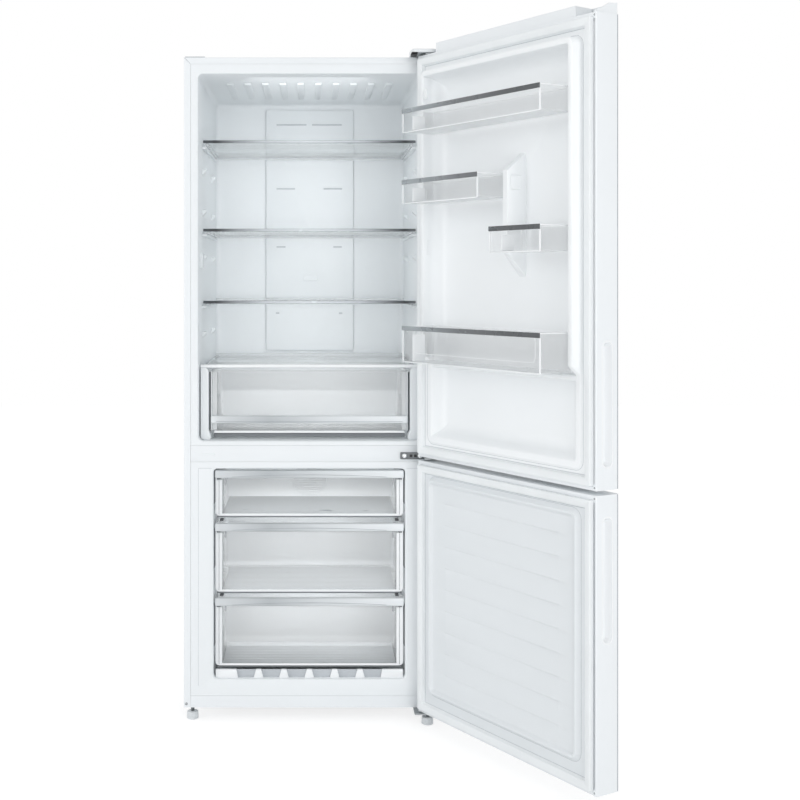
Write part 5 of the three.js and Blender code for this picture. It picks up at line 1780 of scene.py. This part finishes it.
@dataclass
class Bin:
    """A clear door bin with white end frames, a frosted floor and a dark polished strip along its
    front.
    """

    number: int
    x: Span
    z: Span
    y: Span = (-10.0, 94.0)
    strip_y: Span = (92.8, 95.5)
    strip_height: float = 12.0
    wall: float = 2.4

    def build(self) -> None:
        """Build the bin's pieces."""
        name, (near, far), (low, high) = f"bin_{self.number}", self.x, self.z
        front = self.strip_y[0] - 0.1
        tub = Shape().tub((near, far), (self.y[0], front), (low, high - 0.6), 7.0, self.wall, 2.0)
        tub.piece(f"{name}_vessel", UPPER_DOOR, BIN_CLEAR, [f"{name}_tub"])
        strip = Shape().block((near, far), self.strip_y, (high - self.strip_height, high), 0.9, 2)
        strip.piece(f"{name}_trim", UPPER_DOOR, BIN_STRIP, [f"{name}_strip"])
        self.edges(name, front)
        self.floor(name, front)

    def edges(self, name: str, front: float) -> None:
        """Build the bright edges: foot rail, rim and the upright frame at each end.

        Args:
            name: The bin's name.
            front: Where its front wall stands.
        """
        shape, (near, far), (low, high) = Shape(), self.x, self.z
        shape.block((near + 2, far - 2), (front - 2.4, front + 0.6), (low, low + 3.0), 1.0, 2)
        back, z = self.y[0], (high - 4.0, high - 1.0)
        shape.block((near + 1, far - 1), (back, back + 2.6), z, 0.9, 2)
        for x in (near, far - 3.2):
            shape.block((x, x + 3.2), (front - 3.0, front + 0.8), (low + 1, high - 12.4), 1.0, 2)
            shape.block((x, x + 2.6), (back, front), (high - 3.4, high - 0.8), 0.9, 2)
            shape.block((x, x + 2.6), (back, back + 3.4), (low + 1, high - 1.0), 0.9, 2)
        if self.number == 4:
            panel = Section(front + 0.1, (near + 16.0, far - 52.0), (low + 26.0, high - 6.0), 14.0)
            shape.rim(Axis.Y, panel, 1.4, 0.7)
        pocket, z = far - 46.0, (low + 5, high - 22.0)
        shape.block((pocket, pocket + 1.6), (front - 40.0, front - 1.0), z, 0.6, 2)
        shape.block((pocket, far - 4.0), (front - 41.0, front - 39.4), z, 0.6, 2)
        shape.piece(f"{name}_edges", UPPER_DOOR, WHITE_EDGE)

    def floor(self, name: str, front: float) -> None:
        """Build the frosted floor mat.

        Args:
            name: The bin's name.
            front: Where its front wall stands.
        """
        level, (near, far) = self.z[0] + 2.2, self.x
        mat = Section(level, (near + 6, far - 6), (self.y[0] + 5, front - 5), 5.0)
        upper = mat.steps((0.0, level + 0.8), (0.6, level + 1.4))
        shape = Shape().loft(Axis.Z, [mat, *upper], 3)
        shape.piece(f"{name}_floor", UPPER_DOOR, FROSTED)


# ---- Hinges, feet and wheels -------------------------------------------------------------------
@dataclass
class Hinges:
    """The top hinge's cap, the middle plate's face and the strip over the left corner."""

    cap_x: Span = (282.0, 350.0)
    cap_y: Span = (-59.2, 60.0)
    cap_z: Span = (1854.6, 1876.0)
    cap_slope: float = 14.0
    cap_front_share: float = 0.42
    plate_x: Span = (253.5, 331.0)
    plate_z: Span = (729.0, 748.5)

    def build(self) -> None:
        """Build the pieces."""
        (low, high), near, start = self.cap_z, self.cap_y[0], self.cap_front_share
        cap = Section(low, self.cap_x, self.cap_y, 14.0)
        shape = Shape().loft(Axis.Z, cap.steps(
            (0.0, low), (0.0, high - 7.0), (0.8, high - 3.2), (3.0, high - 0.8), (7.0, high),
        ), 6)
        shape.clean()
        for v in shape.bm.verts:
            share = min(1.0, max(0.0, (v.co.y - near) / (self.cap_slope - near)))
            v.co.z = low + (v.co.z - low) * (start + (1 - start) * share)
        shape.piece("hinge_cap", CABINET, CAP_PLASTIC, ["top_hinge_cover"])
        # Black blocks in the gaps above and below the cap's front are painted shade.
        slots = Shape()
        x = self.cap_x[0] - 1.0
        slots.block((x, x + 17.0), (-59.9, -20.0), (1851.2, 1854.4), 0.6, 2)
        slots.block((x + 1.0, x + 16.0), (-59.0, -20.0), (1846.6, 1849.4), 0.6, 2)
        slots.piece("hinge_cap_gap_shade", CABINET, BLACK_PLASTIC)
        self.middle()
        strip = Shape().block((-347.0, -291.0), (0.6, 30.0), (1849.0, 1852.4), 1.0, 2)
        strip.piece("corner_strip", CABINET, GREY_PLASTIC)
        screws = Shape()
        screw(screws, (-343.0, -0.1, 46.0), 4.0, -1.0)
        screws.piece("foot_corner_screw", CABINET, ZINC)

    def middle(self) -> None:
        """Build the middle plate's dark face, the painted shade in its slots and its bright screws.
        """
        x, z = self.plate_x, self.plate_z
        face = Section(-4.0, x, z, 4.0)
        plate = Shape().loft(Axis.Y, face.steps((0.0, -3.9), (0.0, -4.6), (0.8, -5.2)), 3)
        plate.piece("middle_plate_face", CABINET, HINGE_STEEL)
        screws = Shape()
        for place in (x[0] + 12.0, x[1] - 22.0):
            screw(screws, (place, -5.2, sum(z) / 2), 7.0, -1.0)
        screws.piece("middle_plate_screws", CABINET, BRIGHT_STEEL)
        # Black blocks in the plate's slots are painted shade.
        slots = Shape()
        for place in (x[0] + 26.0, x[0] + 38.0):
            slots.block((place, place + 8.0), (-5.6, -4.8), (z[0] + 6, z[1] - 6), 1.2, 2)
        slots.piece("middle_plate_slot_shade", CABINET, BLACK_PLASTIC)


@dataclass
class Foot:
    """A levelling foot: ribbed cup, rounded base and threaded stud."""

    name: str
    node: str
    seat: Seat
    place: Span
    stud_top: float
    radius: float = 17.0
    height: float = 21.0
    stud: float = 5.0
    teeth: int = 12
    thread_pitch: float = 1.25

    def build(self) -> None:
        """Build the cup and the stud."""
        centre = (*self.place, 0.0)
        r, h = self.radius, self.height
        cup = Shape().lathe([
            (0.0, 0.0), (r - 3, 0.0), (r - 1, 1.2), (r - 0.4, 3.0), (r - 1.0, 4.6), (r - 2.2, 5.4),
            (r - 2.2, h - 4), (r - 1.2, h - 3), (r - 1.4, h - 1), (r - 3, h), (0.0, h),
        ], centre, Axis.Z, 36)
        for tooth in range(self.teeth):
            turn = math.tau * tooth / self.teeth
            x = self.place[0] + math.cos(turn) * (r - 2.0)
            y = self.place[1] + math.sin(turn) * (r - 2.0)
            cup.block((x - 1.1, x + 1.1), (y - 1.1, y + 1.1), (5.6, h - 4.4), 0.6, 2)
        cup.piece(f"{self.name}_cup", self.seat, FOOT_PLASTIC, [self.node])
        profile, level = [(0.0, h - 1.0), (self.stud - 0.9, h - 1.0)], h - 0.6
        while level < self.stud_top - 1.6:
            profile += [(self.stud, level + 0.5), (self.stud - 0.9, level + 1.0)]
            level += self.thread_pitch
        profile += [(self.stud - 1.4, self.stud_top), (0.0, self.stud_top)]
        stud = Shape().lathe(profile, centre, Axis.Z, 24)
        stud.piece(f"{self.name}_stud", self.seat, ZINC)


@dataclass
class Roller:
    """A rear roller with a tread, a hub and a short axle."""

    name: str
    node: str
    seat: Seat
    x: float
    y: float = 560.0
    radius: float = 16.0
    half_width: float = 12.0

    def build(self) -> None:
        """Build the wheel."""
        r, w = self.radius, self.half_width
        profile = [
            (0.0, -w), (4.0, -w), (4.6, -w + 1.6), (r - 5, -w + 2.0), (r - 4, -w), (r - 1.2, -w),
            (r, -w + 1.4), (r, -2.0), (r - 0.8, -1.2), (r - 0.8, 1.2), (r, 2.0), (r, w - 1.4),
            (r - 1.2, w), (r - 4, w), (r - 5, w - 2.0), (4.6, w - 1.6), (4.0, w), (0.0, w),
        ]
        wheel = Shape().lathe(profile, (self.x, self.y, self.radius), Axis.X, 36)
        wheel.piece(f"{self.name}_wheel", self.seat, BLACK_PLASTIC, [self.node])


# ---- The lot -----------------------------------------------------------------------------------
CARRIED: dict[str, Finish] = {
    "base_frame": WHITE_PAINT, "insulation_foam": FOAM, "evaporator_cover": LINER_PLASTIC,
    "fan_motor": BLACK_PLASTIC, "fan_rotor": GREY_PLASTIC, "evaporator": FINS,
    "compressor": BLACK_ENAMEL, "drain_pan": BLACK_PLASTIC, "rear_grille": GALVANISED,
    "top_hinge_bracket": ZINC, "middle_hinge_bracket": ZINC, "bottom_hinge_bracket": ZINC,
}


def dress_carried() -> None:
    """Give every CAD node that still shows its finish."""
    for name, finish in CARRIED.items():
        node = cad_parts[name]
        if not node.material_slots:
            node.data.materials.append(finish.material())
        for held in node.material_slots:
            held.material = finish.material()


# ---- Studio ------------------------------------------------------------------------------------
@dataclass
class Studio:
    """The floor, the lamps, the pale surroundings and the camera."""

    camera_place: Point = (0.337, -3.616, 1.225)
    lens: float = 58.0
    shift: Span = (0.1089, -0.1484)
    ambient: float = 0.72
    floor_half: float = 9.0
    floor_colour: Colour = (0.93, 0.935, 0.94)
    floor_glow: float = 1.2
    floor_glow_share: float = 0.62

    def build(self) -> None:
        """Set up the studio."""
        self.camera()
        self.surroundings()
        self.floor()
        self.lamp("key_lamp", (-3.7, -2.5, 2.0), (0.5, -0.2, 1.2), (2.4, 3.0), 49.0)
        self.lamp("fill_lamp", (2.1, -4.3, 2.0), (0.5, -0.2, 1.0), (2.0, 2.4), 32.0)
        self.lamp("low_lamp", (1.6, -3.6, 0.2), (0.5, -0.3, 1.3), (2.4, 0.5), 11.0)
        self.inner_lamp("fridge_lamp", 0.03, 1.38, (0.34, 0.84), 0.85, 115.0)
        self.inner_lamp("crisper_lamp", 0.022, 0.9, (0.5, 0.12), 0.5, 120.0)
        self.inner_lamp("freezer_lamp", 0.006, 0.45, (0.48, 0.5), 1.1, 115.0)

    def camera(self) -> None:
        """Place the camera at the photograph's viewing angle."""
        lens = bpy.data.cameras.new("camera")
        lens.lens = self.lens
        lens.shift_x, lens.shift_y = self.shift
        lens.clip_end = 60.0
        made = bpy.data.objects.new("camera", lens)
        made.location = self.camera_place
        made.rotation_euler = (math.radians(90), 0.0, 0.0)
        bpy.context.scene.collection.objects.link(made)
        bpy.context.scene.camera = made

    def seen_directly(self, tree: bpy.types.NodeTree) -> bpy.types.NodeSocket:
        """Tell rays from the camera, off gloss or through glass from the rest.

        Args:
            tree: The node tree that asks.

        Returns:
            1 for those rays and 0 for the rest.
        """
        nodes, links = tree.nodes, tree.links
        path = nodes.new("ShaderNodeLightPath")
        total = path.outputs["Is Camera Ray"]
        for name in ("Is Glossy Ray", "Is Transmission Ray"):
            add = nodes.new("ShaderNodeMath")
            add.operation = "MAXIMUM"
            links.new(total, add.inputs[0])
            links.new(path.outputs[name], add.inputs[1])
            total = add.outputs[0]
        return total

    def surroundings(self) -> None:
        """Make the pale surroundings, which the camera sees as white."""
        world = bpy.data.worlds.new("surroundings")
        world.use_nodes = True
        nodes, links = world.node_tree.nodes, world.node_tree.links
        shade = nodes["Background"]
        shade.inputs["Color"].default_value = (1.0, 1.0, 1.0, 1.0)
        spread = nodes.new("ShaderNodeMapRange")
        spread.inputs["To Min"].default_value = self.ambient
        spread.inputs["To Max"].default_value = 1.0
        links.new(self.seen_directly(world.node_tree), spread.inputs["Value"])
        links.new(spread.outputs["Result"], shade.inputs["Strength"])
        bpy.context.scene.world = world

    def floor(self) -> None:
        """Make the plain pale floor, which keeps the object's shadow."""
        bm = bmesh.new()
        bmesh.ops.create_grid(bm, x_segments=1, y_segments=1, size=self.floor_half)
        bmesh.ops.translate(bm, vec=(0.3, 0.0, 0.0), verts=list(bm.verts))
        mesh = bpy.data.meshes.new("floor")
        bm.to_mesh(mesh)
        bm.free()
        made = bpy.data.objects.new("floor", mesh)
        bpy.context.scene.collection.objects.link(made)
        paper = bpy.data.materials.new("pale_floor")
        paper.use_nodes = True
        nodes, links = paper.node_tree.nodes, paper.node_tree.links
        shader = nodes["Principled BSDF"]
        shader.inputs["Base Color"].default_value = (*self.floor_colour, 1.0)
        shader.inputs["Roughness"].default_value = 0.9
        glow = nodes.new("ShaderNodeEmission")
        share = nodes.new("ShaderNodeMapRange")
        share.inputs["To Max"].default_value = self.floor_glow_share
        links.new(self.seen_directly(paper.node_tree), share.inputs["Value"])
        mix = nodes.new("ShaderNodeMixShader")
        links.new(share.outputs["Result"], mix.inputs["Fac"])
        links.new(shader.outputs["BSDF"], mix.inputs[1])
        links.new(glow.outputs["Emission"], mix.inputs[2])
        links.new(mix.outputs["Shader"], nodes["Material Output"].inputs["Surface"])
        glow.inputs["Strength"].default_value = self.floor_glow
        mesh.materials.append(paper)

    def inner_lamp(
        self, name: str, depth: float, level: float, size: Span, power: float, spread: float,
    ) -> None:
        """Hang a narrow lamp in the middle of a mouth, which shines straight in.

        Args:
            name: The lamp's name.
            depth: How far back it hangs.
            level: How high it hangs.
            size: Its width and its height.
            power: In watts.
            spread: The angle in degrees that its light fans out to.
        """
        x = ROW_SHIFT[0]
        self.lamp(name, (x, depth, level), (x, 1.0, level), size, power, spread)

    def lamp(
        self, name: str, place: Point, aim: Point, size: Span, power: float, spread: float = 180.0,
    ) -> None:
        """Hang one soft lamp, which the camera doesn't see, nor gloss where its light is narrow.

        Args:
            name: The lamp's name.
            place: Where it hangs.
            aim: What it points at.
            size: Its width and its height.
            power: In watts.
            spread: The angle in degrees that its light fans out to.
        """
        light = bpy.data.lights.new(name, "AREA")
        light.shape = "RECTANGLE"
        light.size, light.size_y = size
        light.energy = power
        light.spread = math.radians(spread)
        made = bpy.data.objects.new(name, light)
        made.location = place
        made.visible_camera = False
        made.visible_glossy = spread == 180.0
        made.rotation_euler = (Vector(aim) - Vector(place)).to_track_quat("-Z", "Y").to_euler()
        bpy.context.scene.collection.objects.link(made)


def main() -> None:
    """Build the studio and the refrigerator's pieces in order."""
    logging.basicConfig(level=logging.INFO, format="%(name)s: %(message)s")
    bpy.context.scene.view_settings.view_transform = "Standard"
    Studio().build()
    dress_carried()
    parts = (
        Cabinet(), FreezerRoom(), FanGrille(), WallFittings(), DuctPanel(),
        Shelf(1, 1622.0, lift=3.0), Shelf(2, 1371.0), Shelf(3, 1164.0), Crisper(),
        FrozenDrawer(1, (565.0, 696.0), 352.0, UPPER_FLOOR_SHADE), FrozenDrawer(2, (352.0, 547.0), 340.0),
        FrozenDrawer(3, (145.0, 338.0), 262.0, LOWER_FLOOR_SHADE),
        UpperDoor(), LowerDoor(),
        Bin(1, (-276.0, 276.0), (1620.0, 1684.0)), Bin(2, (-44.0, 276.0), (1431.0, 1495.0)),
        Bin(3, (-276.0, -90.0), (1294.0, 1358.0)), Bin(4, (-276.0, 276.0), (1009.0, 1106.0)),
        Hinges(),
        Foot("left_foot", "front_left_foot", Seat("left_levelling_foot"), (-327.0, 20.0), 35.6),
        Foot("right_foot", "front_right_foot", Seat("right_levelling_foot"), (327.0, -27.0), 31.3),
        Roller("left_roller", "rear_left_roller", Seat("left_roller"), -300.0),
        Roller("right_roller", "rear_right_roller", Seat("right_roller"), 300.0),
    )
    for part in parts:
        log.info("building the %s", type(part).__name__)
        part.build()


if __name__ == "__main__":
    main()
